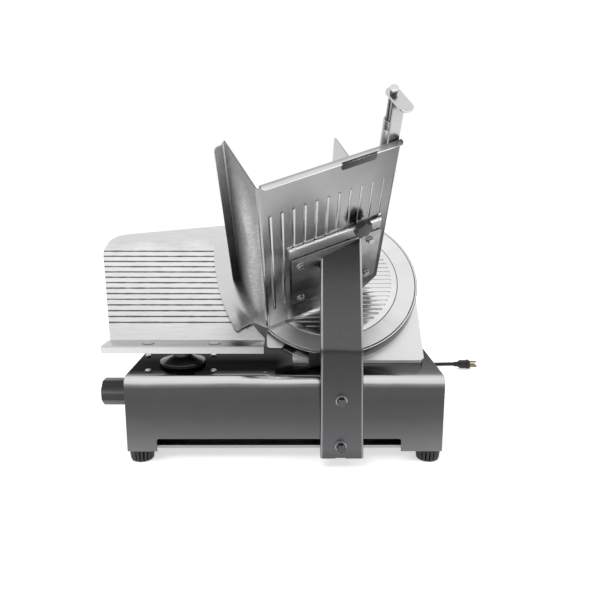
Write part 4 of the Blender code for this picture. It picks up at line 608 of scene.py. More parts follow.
# Cast aluminium, polished: almost white, a little darker towards its foot
cast_polished = metal("aluminium_cast_polished", blade_place, (0, 1, 0), (-0.19, 0.15), [
    (-0.19, "#dcdcdc"), (-0.12, "#e5e5e5"), (0.0, "#e6e6e6"), (0.15, "#dcdcdc")], 0.36,
    cloud=(14.0, 0.05), brush=((60, 60, 60), 0.015))
plate_corner_y = math.sqrt(plate_radius ** 2 - plate_left ** 2)
skirt = np.vstack([arc(plate_radius, 0, 129, 48),
                   [(plate_left, plate_corner_y), (plate_left, -plate_corner_y)],
                   arc(plate_radius, -129, -116, 6), [(-0.0675, plate_foot), (0.143, plate_foot)],
                   [(0.151, -0.150)], arc(0.004, -80, 0, 5) + (0.151, -0.146)])
housing = make("blade_housing", "base", cast_polished, ("housing_plate",), on(
    blade_place, plate(skirt, -plate_front - plate_thick, -plate_front, 0.0008)))
# Its foot is cut level with the base's top and upright in front, and the spindle's bore goes through it
foot_cut = plate([(-base_depth, foot_face - 0.12), (base_depth, foot_face - 0.12), (base_depth, foot_face),
                  (foot_front, foot_face), (foot_front, blade_z), (-base_depth, blade_z)],
                 -base_half, base_half, 0.0001)
carve(housing, on(at(machine, order="YZX"), foot_cut) + on(blade_place, peg(0.030, -0.038, -0.020, 64)))
# Hood aluminium, cast and painted silver: an even, slightly rough finish, which painted light makes lighter
# upward
hood_paint = metal("hood_aluminium_silver", machine, (0, 0, 1), (0.14, 0.32), [
    (0.14, "#b4b4b5"), (0.32, "#cfcfcf")], 0.42, cloud=(20.0, 0.02), brush=((500, 500, 500), 0.03),
    metallic=0.8)
hood_low, hood_high = (np.array(corner) - machine[0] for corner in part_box("motor_cover"))
front_run = blade_z - blade_y - (plate_front + plate_thick + slack) * math.sqrt(2)
hood_top, hood_back, ridge_y, hood_round = hood_high[2], hood_high[1], hood_high[1] - 0.060, 0.014
hood = make("motor_hood", "base", hood_paint, ("motor_cover",), on(
    at(machine, order="YZX"), plate(rounded([
        (foot_face - front_run, foot_face), (hood_top - front_run, hood_top, 0.006),
        (ridge_y, hood_top, hood_round), (hood_back, hood_top - 0.0612, hood_round),
        (hood_back, foot_face)], 8), hood_low[0], hood_high[0], 0.003, 5)))
# It is hollow, open at its foot and towards the housing plate, with seven louvres in its back
hood_wall, hood_open, louvre_first, louvre_pitch, louvre_count = 0.004, 0.006, 0.022, 0.009, 7
hollow = plate([
    (foot_face - hood_open - front_run - hood_open, foot_face - hood_open),
    (hood_top - 0.003 - front_run - hood_open, hood_top - hood_wall), (ridge_y - 0.003, hood_top - hood_wall),
    (hood_back - hood_wall, hood_top - 0.064), (hood_back - hood_wall, foot_face - hood_open)],
    hood_low[0] + hood_wall, hood_high[0] - hood_wall, 0.001)
louvre = plate(pane((0.080, 0.155), (-0.0018, 0.0018), 0.0017), -0.012, 0.004, 0.0001)
carve(hood, on(at(machine, order="YZX"), hollow) + copies(machine, "XZY", [
    (0, hood_back, foot_face + louvre_first + louvre_pitch * i) for i in range(louvre_count)], louvre))
# Ring aluminium, polished: near white, with a line of painted shade round its front rim, and a side that
# painted shade darkens downward
ring_edge = 0.0009
ring_rim_shade = metal("aluminium_rim_painted_shade", blade_place, (0, 1, 0), (-0.16, 0.16), [
    (-0.16, "#3c3c3c"), (0.16, "#4c4c4c")], 0.3)
ring_side_shade = metal("aluminium_ring_side_painted_shade", blade_place, (0, 1, 0), (-0.16, 0.16), [
    (-0.16, "#4a4a4a"), (-0.10, "#6e6e6e"), (-0.04, "#b0b0b0"), (0.02, "#d8d8d8"), (0.16, "#d8d8d8")], 0.3)
ring_outline = np.vstack([arc(plate_radius, -136, 100, 150), arc(ring_inner, 100, -136, 150)])
ring = make("guard_ring", "base", cast_polished, ("blade_guard",), on(
    blade_place, plate(ring_outline, -plate_front + slack, -0.001, ring_edge)))
sort_faces(ring, blade_place, (ring_rim_shade, ring_side_shade), lambda x, y, z: np.select(
    [np.hypot(x, y) > plate_radius - 0.00005, (np.hypot(x, y) > plate_radius - ring_edge) & (z > -0.0019)],
    [2, 1], 0))
# The tab at the ring's lower end, its inner side hollowed to the ring's circle
tab_left, tab_right, tab_top, tab_foot = -0.112, -0.083, -0.099, -0.136
tab_outline = rounded([(tab_right, tab_top), (tab_left, tab_top), (tab_left, tab_foot, 0.006),
                       (tab_right, tab_foot, 0.006)], 8)
ring_tab = make("guard_tab", "base", cast_polished, (), on(
    blade_place, plate(tab_outline, -0.014, -0.010, 0.0006)))
carve(ring_tab, on(blade_place, peg(ring_inner + slack, -plate_front, 0, 200)))

# Blade, its cover and its drive
# The knife is a hollow-ground steel disc, 300 mm across, finely polished and bolted to a flanged spindle that
# a flat belt turns from a motor beside it. A ribbed aluminium cover fills the hollow, pulled in by a rod
# through the spindle.
knife_steel, tree, shader, local = begin("knife_steel_polished", blade_place, 0.38, 1.0)
parts_of = add(tree, "SeparateXYZ", {0: local})
around = add(tree, "CombineXYZ", {0: calculate(tree, "ARCTAN2", parts_of.outputs[1], parts_of.outputs[0])})
far = add(tree, "VectorMath", {0: local}, operation="LENGTH")
ring_lines = add(tree, "CombineXYZ", {0: far.outputs["Value"]})
turned_lines = add(tree, "TexNoise", {"Vector": ring_lines.outputs[0], "Scale": 1400.0, "Detail": 2.0})
fans = add(tree, "TexNoise", {"Vector": around.outputs[0], "Scale": 2.2, "Detail": 2.0})
tone = calculate(tree, "MULTIPLY_ADD", turned_lines.outputs["Fac"], 0.35, fans.outputs["Fac"])
tint = add(tree, "ValToRGB", {"Fac": tone}, stops=[(0.35, "#c4c4c4"), (0.62, "#e6e6e6"), (1.0, "#f2f2f2")])
tree.links.new(tint.outputs["Color"], shader.inputs["Base Color"])
rough = add(tree, "MapRange", {"Value": turned_lines.outputs["Fac"], "To Min": 0.32, "To Max": 0.46})
tree.links.new(rough.outputs["Result"], shader.inputs["Roughness"])
make("knife_disc", "blade_body", knife_steel, ("blade",), on(blade_place, lathe([
    (0.010, -0.014), (0.040, -0.014), (0.0408, -0.0136), (0.0795, -0.0096), (0.1189, -0.009),
    (0.138, -0.0046), (0.1497, -0.0006), (0.150, -0.0003), (0.1497, 0), (0.1205, -0.0014),
    (0.1201, -0.0018), (0.1196, -0.0055), (0.1190, -0.0058), (0.010, -0.0058)], 256, wrap=True)))
# Cover aluminium, polished: light fingers between darker gaps
cover_metal = metal("cover_aluminium_polished", blade_place, (0, 1, 0), (-0.12, 0.12), [
    (-0.12, "#dcdcdc"), (-0.04, "#ececec"), (0.05, "#e2e2e2"), (0.12, "#efefef")], 0.2,
    cloud=(24.0, 0.03), brush=((25, 500, 500), 0.05))
cover = make("blade_cover_ribbed", "base", cover_metal, ("blade_cover",), on(
    blade_place, plate(arc(0.1188, 0, 360, 201)[:-1], -0.005, -0.001, 0.0006)))
# Its grooves run right across it, one in the middle and twelve on each side, each as long as the disc is
# there, with round ends
cover_pitch, cover_beside, groove_half, groove_round, groove_circle = 0.009, 12, 0.0021, 0.00205, 0.1085
levels = [cover_pitch * i for i in range(-cover_beside, cover_beside + 1)]
carve(cover, [shape for y in levels for half in [math.sqrt(groove_circle ** 2 - y ** 2)] for shape in on(
    blade_place, plate(pane((-half, half), (y - groove_half, y + groove_half), groove_round, 8),
                       -0.0034, 0.002, 0.0006, 2))])
# Turned steel of shafts and pulleys: fine rings
turned_steel = metal("shaft_steel_turned", machine, (0, 0, 1), (0.0, 0.5), [
    (0.0, "#8c8c8d"), (0.5, "#b0b0b1")], 0.28, cloud=(60.0, 0.03), brush=((700, 90, 700), 0.08))
dress(turned_steel, "spindle", "cover_rod", "blade_bearing", "motor_pulley")
# Motor casting, painted: dark grey, grainy
motor_paint = metal("motor_casting_painted", machine, (0, 0, 1), (0.0, 0.3), [
    (0.0, "#4b4e50"), (0.3, "#5d6062")], 0.5, cloud=(30.0, 0.03), brush=((900, 900, 900), 0.06), metallic=0.3)
dress(motor_paint, "blade_motor", "bearing_housing")
# Belt rubber, ribbed: dull black
belt_rubber = moulded("belt_rubber_moulded", "#141415", "#242425", 0.7, 0.0015)
dress(belt_rubber, "blade_belt")


def under_ring(z):
    """How far back the guard ring's lowest line stands at a height. It comes forward by as much as it rises,
    since the ring's axis is tilted by 45 degrees."""
    return blade_y - (plate_radius + slack) * math.sqrt(2) - (z - blade_z)


# Buffer under the guard ring: a block of black rubber with rounded rims, cut to the ring's slope
buffer_low = base_top + 0.0062
buffer_mid, buffer_top = blade_z - (plate_radius + slack + 0.001) * math.sin(tilt), buffer_low + 0.0175
make("guard_buffer", "base", moulded("buffer_rubber_moulded", "#040405", "#0a0a0b", 0.6),
     ("ring_buffer",), on(at(machine, order="YZX"), plate([
         (0.056, buffer_low), (under_ring(buffer_low), buffer_low), (under_ring(buffer_mid), buffer_mid),
         (under_ring(buffer_mid) - 0.001, buffer_top), (0.056, buffer_top)], 0.0388, 0.0748, 0.0012)))

# Switch on the right wall
# A shallow box of moulded black plastic is screwed to the outside of the base's right wall. It holds a green
# start button and a red stop button, each in its own pocket.
switch_y, switch_z, pocket_side, pocket_half, button_half = 0.180, base_top - 0.050, 0.015, 0.0095, 0.009
switch_in, switch_out = base_half + slack, base_half + slack + 0.010


def box(x, y, z, edge=0.0005, corner=0.0):
    """A box from its three spans, its rims rounded by edge and its four upright edges by corner."""
    return plate(pane(x, y, corner, 6 if corner else 1), *z, edge)


switch_black = moulded("switch_polyamide_moulded", "#131314", "#262627", 0.45)
switch = make("switch_housing", "base", switch_black, ("switch_box",), on(
    at(machine, (0, switch_y, switch_z), "YZX"),
    box((-0.030, 0.030), (-0.017, 0.017), (switch_in, switch_out), 0.0016, 0.004)))
carve(switch, [shape for side in (-pocket_side, pocket_side) for shape in on(
    at(machine, (0, switch_y + side, switch_z), "YZX"),
    box((-pocket_half, pocket_half), (-pocket_half, pocket_half), (switch_out - 0.007, switch_out + 0.004),
        0.0003, 0.0015))])
for name, side, tone, worn, slot_name in (("start", -pocket_side, "#0f5a2a", "#176d36", "green_plastic"),
                                          ("stop", pocket_side, "#a01414", "#b82020", "red_plastic")):
    button = box((-button_half, button_half), (-button_half, button_half),
                 (switch_out - 0.0025, switch_out + 0.002), 0.0014, 0.0016)
    make(f"{name}_push_button", name, moulded(f"{name}_button_moulded", tone, worn, 0.35),
         (f"{name}_button",), on(at(machine, (0, switch_y + side, switch_z), "YZX"), button))

# Thickness gauge
# A cast plate with 14 fine grooves stands left of the blade on a carrier, a glossy post and a slide under the
# base's top. A folded bar runs along its foot. A knob on the left turns a screw that moves all of it.
groove_first, groove_pitch, groove_count, groove_end = 0.0644, 0.012, 14, -0.165


def groove_mask(tree, local):
    """Darkening along the grooves: dark within one or two millimetres of a groove's line, left of their ends.
    """
    where = add(tree, "SeparateXYZ", {0: local})
    count = add(tree, "MapRange", {"Value": where.outputs[1], "From Min": groove_first + groove_pitch / 2,
                                   "From Max": groove_first - groove_pitch / 2}, clamp=False)
    near = calculate(tree, "FRACT", count.outputs["Result"])
    off = calculate(tree, "ABSOLUTE", calculate(tree, "SUBTRACT", near, 0.5))
    edge_noise = add(tree, "TexNoise", {"Vector": local, "Scale": 60.0, "Detail": 3.0})
    reach = add(tree, "MapRange", {"Value": edge_noise.outputs["Fac"], "From Min": 0.35, "From Max": 0.65,
                                   "To Min": 0.10, "To Max": 0.175})
    inside = calculate(tree, "LESS_THAN", off, reach.outputs["Result"])
    left = calculate(tree, "LESS_THAN", where.outputs[0], groove_end)
    low = calculate(tree, "GREATER_THAN", where.outputs[1],
                    groove_first - (groove_count - 0.5) * groove_pitch)
    high = calculate(tree, "LESS_THAN", where.outputs[1], groove_first + groove_pitch / 2)
    darkened = calculate(tree, "MULTIPLY", low, high)
    darkened = calculate(tree, "MULTIPLY", darkened, left)
    darkened = calculate(tree, "MULTIPLY", darkened, inside)
    return calculate(tree, "MULTIPLY_ADD", darkened, -0.62, 1.0)


# Gauge aluminium, cast and ground: light with cloudy grinding marks, and dark in the grooves
gauge_metal = metal("gauge_aluminium_ground", blade_place, (0, 1, 0), (-0.13, 0.15), [
    (-0.13, "#d8d8d8"), (-0.095, "#dedede"), (-0.02, "#e8e8e8"), (0.06, "#ebebeb"), (0.085, "#d9d9d9"),
    (0.14, "#dcdcdc")], 0.3, cloud=(16.0, 0.05), brush=((30, 240, 60), 0.06), mask=groove_mask)
# Its outline: a rounded corner at the upper left, and a bite round the guard ring at the right
gauge_left, gauge_right, gauge_foot, gauge_top = -0.4190, -0.115, -0.127, 0.1385
bite_radius, bite_down = 0.159, 0.0127
gauge_corner = [(gauge_left, 0.0673), (-0.4115, 0.0897), (-0.3955, 0.1020), (-0.3708, 0.1072)]
bite_up = math.sqrt(bite_radius ** 2 - gauge_right ** 2)
bite_angle = math.degrees(math.atan2(bite_up, gauge_right))
bite = arc(bite_radius, bite_angle, 360 - bite_angle, 60) - (0, bite_down)
gauge_outline = np.vstack([[(-0.375, gauge_foot), (gauge_left, 0.0585)], smoothed(gauge_corner, 0.004),
                           [(gauge_right, gauge_top)], bite, [(gauge_right, gauge_foot)]])
gauge_thick = 0.008
gauge = make("gauge_plate_grooved", "gauge", gauge_metal, ("gauge_plate",), on(
    blade_place, plate(gauge_outline, -gauge_thick, 0, 0.0006)))
groove_section = np.array([(-0.0011, 0.0002), (-0.0006, -0.0012), (0.0006, -0.0012), (0.0011, 0.0002)])
groove = loft([np.column_stack([groove_section * (share, 1 if share == 1 else 0.3), np.full(4, x)])
               for share, x in ((1, -0.43), (1, groove_end - 0.0015), (0.4, groove_end))])
carve(gauge, copies(blade_place, "YZX", [
    (0, groove_first - groove_pitch * i, 0) for i in range(groove_count)], groove))
# Bar aluminium, folded, with painted reflection: light at its left end, greyer to the right
bar_front, bar_sheet, bar_lip, bar_left, bar_right = 0.0404, 0.003, 0.0125, -0.298, -0.0346
fold_y, fold_z = blade_y + gauge_foot * math.sin(tilt), blade_z + gauge_foot * math.cos(tilt)
bar_metal = metal("bar_aluminium_folded", machine, (1, 0, 0), (-0.303, -0.034), [
    (-0.303, "#9a9a9a"), (-0.2965, "#c6c6c6"), (-0.20, "#bebebe"), (-0.10, "#ababab"),
    (-0.034, "#949494")], 0.26, cloud=(12.0, 0.012), brush=((30, 200, 300), 0.05))
bar_rear = fold_y - 0.0006
bar_section = rounded([(bar_front, fold_z - bar_lip), (bar_front + bar_sheet, fold_z - bar_lip),
                       (bar_front + bar_sheet, fold_z - bar_sheet), (bar_rear, fold_z - bar_sheet),
                       (bar_rear, fold_z), (bar_front, fold_z, 0.0022)], 5)
make("gauge_edge_bar", "gauge", bar_metal, ("gauge_bar",), on(
    at(machine, order="YZX"), plate(bar_section, bar_left, bar_right, 0.0004)))
# Bar screws, low domes on the bar's top: polished, with painted shade darkening their rims
flush = metal("screw_steel_polished", machine, (0, 0, 1), (fold_z, fold_z + 0.0014), [
    (fold_z, "#3c3c3c"), (fold_z + 0.0005, "#6c6c6c"), (fold_z + 0.0008, "#b0b0b0"),
    (fold_z + 0.0014, "#c8c8c8")], 0.3, cloud=(300.0, 0.0001))
low_dome = lathe([(0, -0.0010), (0.0100, -0.0010), (0.0100, 0.00015), (0.0090, 0.0002), (0.0088, 0.0008),
                  (0.0060, 0.0012), (0, 0.0014)], 48)
make("gauge_bar_screws", "gauge", flush, (), copies(
    machine, "XYZ", [(-0.2254, 0.0585, fold_z), (-0.1167, 0.0585, fold_z)], low_dome))
# Carrier aluminium, cast: mid grey, rough, and lighter upward by painted light
carrier_metal = metal("carrier_aluminium_cast", machine, (0, 0, 1), (0.17, 0.22), [
    (0.17, "#7d7d7e"), (0.22, "#a8a8a9")], 0.45, cloud=(60.0, 0.01), brush=((700, 700, 700), 0.05))
post_top = base_top + slack + 0.0265
plate_line = blade_z - blade_y - (gauge_thick + slack) * math.sqrt(2)
carrier_front, carrier_step = bar_front + bar_sheet + slack, fold_z - bar_sheet - slack
carrier_rear, carrier_top = carrier_front + 0.0715, 0.2129
make("gauge_carrier_block", "gauge", carrier_metal, ("gauge_carrier",), on(
    at(machine, order="YZX"), plate([
        (carrier_front, post_top + slack), (carrier_rear, post_top + slack),
        (carrier_rear + 0.015, carrier_top), (carrier_top - plate_line, carrier_top),
        (carrier_step - 0.003 - plate_line, carrier_step - 0.003),
        (carrier_step - 0.0054 - plate_line, carrier_step), (carrier_front, carrier_step)],
        -0.215, -0.132, 0.0009)))
# Post, disc and cone: one glossy black moulding
post_black = moulded("post_phenolic_glossy", "#141414", "#2a2a2a", 0.2, 0.004)
disc_low = base_top + slack
post_profile = [(0, disc_low - 0.012), (0.0165, disc_low - 0.012), (0.0165, disc_low), (0.0378, disc_low),
                (0.0385, disc_low + 0.0010), (0.0385, disc_low + 0.0052), (0.0376, disc_low + 0.0066),
                (0.0350, disc_low + 0.0074), (0.0260, disc_low + 0.0100), (0.0185, disc_low + 0.0135),
                (0.0165, disc_low + 0.0155), (0.0162, post_top - 0.0005), (0.0157, post_top), (0, post_top)]
make("gauge_post", "gauge", post_black, (), on(at(machine, (post_x, post_y, 0)),
                                                                   lathe(post_profile, 16)), sharp=15)
# Slide steel, milled
milled = metal("slide_steel_milled", machine, (1, 0, 0), (-0.3, 0.3), [(-0.3, "#8f8f90"), (0.3, "#a3a3a4")],
               0.32, cloud=(40.0, 0.05), brush=((60, 700, 700), 0.07))
slide_top = base_top - sheet - slack
slide_low = slide_top - 0.0174
slide_steel = make("gauge_slide_block", "gauge", milled, ("gauge_slide",), on(
    machine,
    box((post_x - 0.031, post_x + 0.031), (post_y - 0.025, post_y + 0.025), (slide_low, slide_top), 0.0008,
        0.001),
    box((post_x - 0.010, post_x + 0.010), (0.080, 0.090), (knob_z - 0.008, slide_low + 0.003), 0.0005)))
carve(slide_steel, on(at(machine, (post_x, 0, knob_z), "ZXY"), peg(0.005, 0.07, 0.10, 32)))
dress(milled, "gauge_screw")
dress(motor_paint, "gauge_guide")

# Knob: an octagon of glossy black plastic with softened edges, on a steel shaft with a mitre wheel
knob_place, knob_reach, knob_half = at(machine, (-base_half, knob_y, knob_z), "ZYX"), 0.0227, 0.023
octagon = [(knob_reach * math.cos(a), knob_reach * math.sin(a), 0.003)
           for a in (np.arange(8) + 0.5) * math.pi / 4]
# Knob plastic, glossy black, with a painted highlight in a band across its faces just above its middle
knob_black_highlighted = metal("knob_phenolic_painted_highlight", machine, (0, 0, 1), (knob_z - knob_half, knob_z + knob_half), [
    (knob_z - knob_half, "#060607"), (knob_z - 0.010, "#0b0b0c"), (knob_z + 0.001, "#121213"),
    (knob_z + 0.004, "#505051"), (knob_z + 0.009, "#2a2a2b"), (knob_z + 0.012, "#0a0a0b"),
    (knob_z + knob_half, "#060607")], 0.25, cloud=(90.0, 0.0006), metallic=0.0)
make("gauge_knob_grip", "knob", knob_black_highlighted, ("thickness_knob",), on(
    knob_place, plate(rounded(octagon, 4), -0.0465, -0.0006, 0.0022, 4)))
make("gauge_knob_shaft", "knob", turned_steel, (), on(
    knob_place, lathe([(0, -0.003), (0.006, -0.003), (0.006, 0.0655), (0.0137, 0.0655), (0.0077, 0.0715),
                       (0, 0.0715)], 32)))

# Carriage and its arm
# Inside the base a block runs on a rod and a rail, drawn by a belt. Its bracket comes out through the front
# slot and carries the arm: a folded channel of 3 mm steel, dark satin, on two bolts. The arm leans back above
# its fold, and its top is cut to the slope of the tray's floor.
dress(milled, "slide_rod", "guide_rail", "drive_pulley", "idler_pulley", "carriage_block",
      "end_bracket_left", "end_bracket_right", "arm_bracket")
dress(motor_paint, "carriage_motor")
dress(belt_rubber, "carriage_belt")
dress(moulded("roller_polyamide_turned", "#1a1a1b", "#29292a", 0.4), "guide_roller")

# The tray's place is turned from the blade's: floor along X, wall along Y, and Z up the trough to its lip
tray = at(blade_place, (-0.110, -0.105, 0.003), turn=math.radians(25))
floor_width, floor_length, wall_height, bracket_face, bracket_low = 0.206, 0.3345, 0.120, -0.0003, -0.0053
arm_x, arm_front, arm_deep, arm_sheet, arm_low, arm_fold = 0.088, 0.022, 0.019, 0.003, 0.019, 0.196
arm_lean, arm_reach, bend, arm_round = math.radians(15.2), 0.200, 0.004, 0.0032


def channel(half):
    """The channel's section: its face on the line 0, its two sides back to the depth, and its outer bends
    rounded."""
    return rounded([(-half, 0, arm_round), (half, 0, arm_round), (half, arm_deep),
                    (half - arm_sheet, arm_deep), (half - arm_sheet, arm_sheet, 0.0008),
                    (-half + arm_sheet, arm_sheet, 0.0008), (-half + arm_sheet, arm_deep),
                    (-half, arm_deep)])


back_off = bend * math.tan(arm_lean / 2)
leans = np.concatenate([[0, 0], np.linspace(0, arm_lean, 7), [arm_lean]])
heights = np.concatenate([[arm_low, 0.11], arm_fold - back_off + bend * np.sin(np.linspace(0, arm_lean, 7)),
                          [arm_fold + arm_reach * math.cos(arm_lean)]])
runs = np.concatenate([[0, 0], bend * (1 - np.cos(np.linspace(0, arm_lean, 7))),
                       [arm_reach * math.sin(arm_lean)]])
share_up = np.clip((heights - arm_fold) / (heights[-1] - arm_fold), 0, 1)
share_down = np.clip((arm_fold - heights) / (arm_fold - arm_low), 0, 1)
arm_halves = 0.0325 + 0.0015 * share_down - 0.0012 * share_up
arm_shifts = 0.0022 * share_down - 0.00135 * share_up
arm_rings = [np.column_stack([arm_x + shift + section[:, 0],
                              -arm_front + run + section[:, 1] * math.cos(a),
                              z - section[:, 1] * math.sin(a)])
             for shift, half, run, z, a in zip(arm_shifts, arm_halves, runs, heights, leans)
             for section in [channel(half)]]
# Arm steel, dark satin, with painted light: painted shade darkens its top and a line at the fold, and
# a painted reflection makes it lighter towards its foot
arm_steel = metal("arm_steel_dark_satin", machine, (0, 0, 1), (0.01, 0.37), [
    (0.01, "#4c4c4e"), (0.035, "#5e5e60"), (0.08, "#505051"), (0.15, "#404041"), (0.188, "#3a3a3b"),
    (0.1945, "#2c2c2d"), (0.1985, "#5b5b5c"), (0.24, "#5a5a5b"), (0.29, "#515152"), (0.33, "#3d3d3e"),
    (0.37, "#323233")], 0.3, cloud=(7.0, 0.008), brush=((500, 500, 25), 0.05), metallic=0.9)
arm = make("carriage_arm", "carriage", arm_steel, ("arm",), on(machine, loft(arm_rings)))
# Its two bends carry a painted highlight, broken by painted shade at the fold
arm_bend_highlight = metal("arm_steel_bend_painted_highlight", machine, (0, 0, 1), (0.01, 0.37), [
    (0.01, "#8c8c8d"), (0.18, "#7c7c7d"), (0.1945, "#3c3c3d"), (0.20, "#a4a4a5"), (0.37, "#c4c4c5")], 0.3,
    cloud=(30.0, 0.008))
# Its top is cut off 0.3 mm below the bracket, and its foot has a small notch
carve(arm, on(tray, box((-floor_width, 2 * floor_width), (bracket_low - slack, wall_height),
                        (-floor_length, floor_length), 0.0001))
      + on(machine, box((arm_x - 0.008, arm_x + 0.008), (-arm_front - 0.003, -arm_front + 0.006),
                        (arm_low - 0.003, arm_low + 0.001), 0.0001)))


def at_bend(x, y, z):
    """One where a face lies in one of the two bends: closer to the arm's side than the bend's radius."""
    inside = np.interp(z, heights, arm_halves) - abs(x - arm_x - np.interp(z, heights, arm_shifts))
    return (inside > 0.0002) & (inside < 0.0031)


sort_faces(arm, machine, (arm_bend_highlight,), at_bend)


def hexagon(reach, low, high, edge=0.0008):
    """A hexagonal head with a crowned top: its corners are cut by a cone as they near the top."""
    corners = rounded([(reach * math.cos(a), reach * math.sin(a), reach * 0.06)
                       for a in np.arange(6) * math.pi / 3], 2)
    far = np.linalg.norm(corners, axis=1, keepdims=True)
    trimmed = corners * np.minimum(1, reach * 0.9 / far)
    rows = [(corners, low), (corners, high - edge), (trimmed, high), (trimmed * 0.6, high + edge * 0.15)]
    return loft([np.column_stack([facing(ring), np.full(len(ring), z)]) for ring, z in rows])


def turned_over(*shapes):
    """Shapes turned over along Z, with their faces turned round so that they still look out."""
    return [(points * (1, 1, -1), [face[::-1] for face in faces]) for points, faces in shapes]


# The arm's bolts, blackened like the arm, with a bright washer and a painted highlight round each head's
# crown:
# the ramp runs out over the head
bolt_blackened = metal("bolt_steel_blackened", machine, (0, -1, 0), (arm_front, arm_front + 0.0145), [
    (arm_front, "#8b8b8c"), (arm_front + 0.0022, "#98989a"), (arm_front + 0.003, "#4a4a4b"),
    (arm_front + 0.0120, "#4a4a4b"), (arm_front + 0.0132, "#d0d0d0"), (arm_front + 0.0136, "#d0d0d0"),
    (arm_front + 0.0139, "#505051"), (arm_front + 0.0145, "#505051")], 0.28, cloud=(260.0, 0.0001))
arm_washer = lathe([(0, 0), (0.009, 0), (0.009, 0.0015), (0.0084, 0.002), (0, 0.002)], 48)
for name, z in (("upper", 0.1146), ("lower", 0.0397)):
    make(f"arm_hex_bolt_{name}", "carriage", bolt_blackened, (f"arm_bolt_{name}",), on(
        at(machine, (arm_x, -arm_front, z), "XZY"), *turned_over(
            arm_washer, hexagon(0.0074, 0.002, 0.014), peg(0.004, -0.008, 0.001, 24))))

# Tray: bracket, trough and hand guard
# The trough is one sheet of 2 mm stainless steel, folded into a flange, a wall and a floor with eleven
# pressed ribs, and bolted on a thick bracket on top of the arm. Its end has a rolled lip with a grip tab. A
# smooth polished plate guards the fingers at the wall's foot.
wall_corner, wall_length, half_sheet = 0.327, 0.314, sheet / 2
flange_width, flange_length, floor_chamfer, tray_start, lip_bend = 0.0165, 0.306, 0.034, 0.0028, 0.004
rib_first, rib_pitch, rib_count, rib_low, rib_high = 0.0144, 0.01741, 11, 0.052, 0.272
rib_out, rib_in = 0.0009, 0.0004
rod_f, rod_w = 0.194, 0.0165


def skin(outer, inner):
    """A sheet's two faces as equal grids of points, closed along all four edges by strips of quads."""
    rows, columns = outer.shape[:2]
    index = np.arange(rows * columns).reshape(rows, columns)
    far = index + rows * columns

    def quads(a, b, c, d):
        """One face for each four corners that stand at the same place in four arrays of point numbers."""
        return np.stack([a, b, c, d], -1).reshape(-1, 4).tolist()

    faces = quads(index[:-1, :-1], index[:-1, 1:], index[1:, 1:], index[1:, :-1])
    faces += quads(far[:-1, :-1], far[1:, :-1], far[1:, 1:], far[:-1, 1:])
    faces += quads(index[0, :-1], far[0, :-1], far[0, 1:], index[0, 1:])
    faces += quads(index[-1, :-1], index[-1, 1:], far[-1, 1:], far[-1, :-1])
    faces += quads(index[:-1, 0], index[1:, 0], far[1:, 0], far[:-1, 0])
    faces += quads(index[:-1, -1], far[:-1, -1], far[1:, -1], index[1:, -1])
    return np.vstack([outer.reshape(-1, 3), inner.reshape(-1, 3)]), faces


# The section's middle line: flange, bend, wall, bend, floor, with points close together across each rib. Both
# bends are quarter circles
rib_at = rib_first + rib_pitch * np.arange(rib_count)
across_rib = (rib_at[:, None] + np.linspace(-0.0033, 0.0033, 13)[None, :]).ravel()
floor_f = np.unique(np.round(np.concatenate([across_rib, [0.006, 0.010, 0.199, floor_width]]), 6))
bend_turn = np.linspace(0, math.pi / 2, 7)
section = np.vstack([
    np.column_stack([np.linspace(-flange_width, -0.0045, 10), np.full(10, wall_height - half_sheet)]),
    np.column_stack([-0.004 + 0.003 * np.sin(bend_turn), wall_height - 0.004 + 0.003 * np.cos(bend_turn)]),
    np.column_stack([np.full(24, -half_sheet), np.linspace(wall_height - 0.006, 0.006, 24)]),
    np.column_stack([0.003 - 0.004 * np.cos(bend_turn), 0.005 - 0.004 * np.sin(bend_turn)]),
    np.column_stack([floor_f, np.full(len(floor_f), half_sheet)])])
heading = np.gradient(section, axis=0)
heading /= np.linalg.norm(heading, axis=1, keepdims=True)
side = np.stack([-heading[:, 1], heading[:, 0]], 1)
# Where the sheet starts and ends along the trough: the floor has a cut-off corner at its start, the wall's
# end slopes, and the flange's end is rounded
on_floor = (section[:, 0] > 0.0029) & (section[:, 1] < 0.0011)
corner_cut = np.clip(section[:, 0] - floor_width + floor_chamfer - tray_start, 0, None)
first_n = np.where(on_floor, tray_start + corner_cut, tray_start)
wall_end = wall_corner + (wall_length - wall_corner) * np.clip(section[:, 1] / wall_height, 0, 1)
flange_round = 0.008
past = np.clip(flange_width - flange_round + section[:, 0], None, 0) * np.where(section[:, 1] > 0.11, 1, 0)
flange_end = flange_length - flange_round + np.sqrt(np.clip(flange_round ** 2 - past ** 2, 0, None))
into_flange = np.clip((-section[:, 0] - 0.001) / 0.004, 0, 1) * (section[:, 1] > 0.11)
last_n = np.where(on_floor, floor_length - lip_bend, wall_end + (flange_end - wall_end) * into_flange)
steps_n = np.concatenate([np.linspace(0, 0.045, 5), np.linspace(0.050, 0.060, 9),
                          np.linspace(0.068, 0.256, 14), np.linspace(0.264, 0.274, 9),
                          np.linspace(0.285, floor_length - lip_bend, 6)])
share_n = (steps_n - steps_n[0]) / (steps_n[-1] - steps_n[0])
n_grid = first_n[None, :] + share_n[:, None] * (last_n - first_n)[None, :]
f_grid, w_grid = (np.broadcast_to(section[:, k], n_grid.shape) for k in (0, 1))
# A rib's height follows half a cosine of the distance from its middle line, and it ends in a half circle
beyond = n_grid - np.clip(n_grid, rib_low + 0.0022, rib_high - 0.0022)
apart = np.sqrt((f_grid[:, :, None] - rib_at) ** 2 + beyond[:, :, None] ** 2).min(axis=2)
rib_shape = 0.5 + 0.5 * np.cos(math.pi * np.clip((apart - 0.0004) / 0.0022, 0, 1))
pressed = np.where(on_floor[None, :], rib_shape, 0)
outer = np.stack([f_grid - side[:, 0] * half_sheet, w_grid - side[:, 1] * half_sheet + rib_out * pressed,
                  n_grid], 2)
inner = np.stack([f_grid + side[:, 0] * half_sheet, w_grid + side[:, 1] * half_sheet + rib_in * pressed,
                  n_grid], 2)

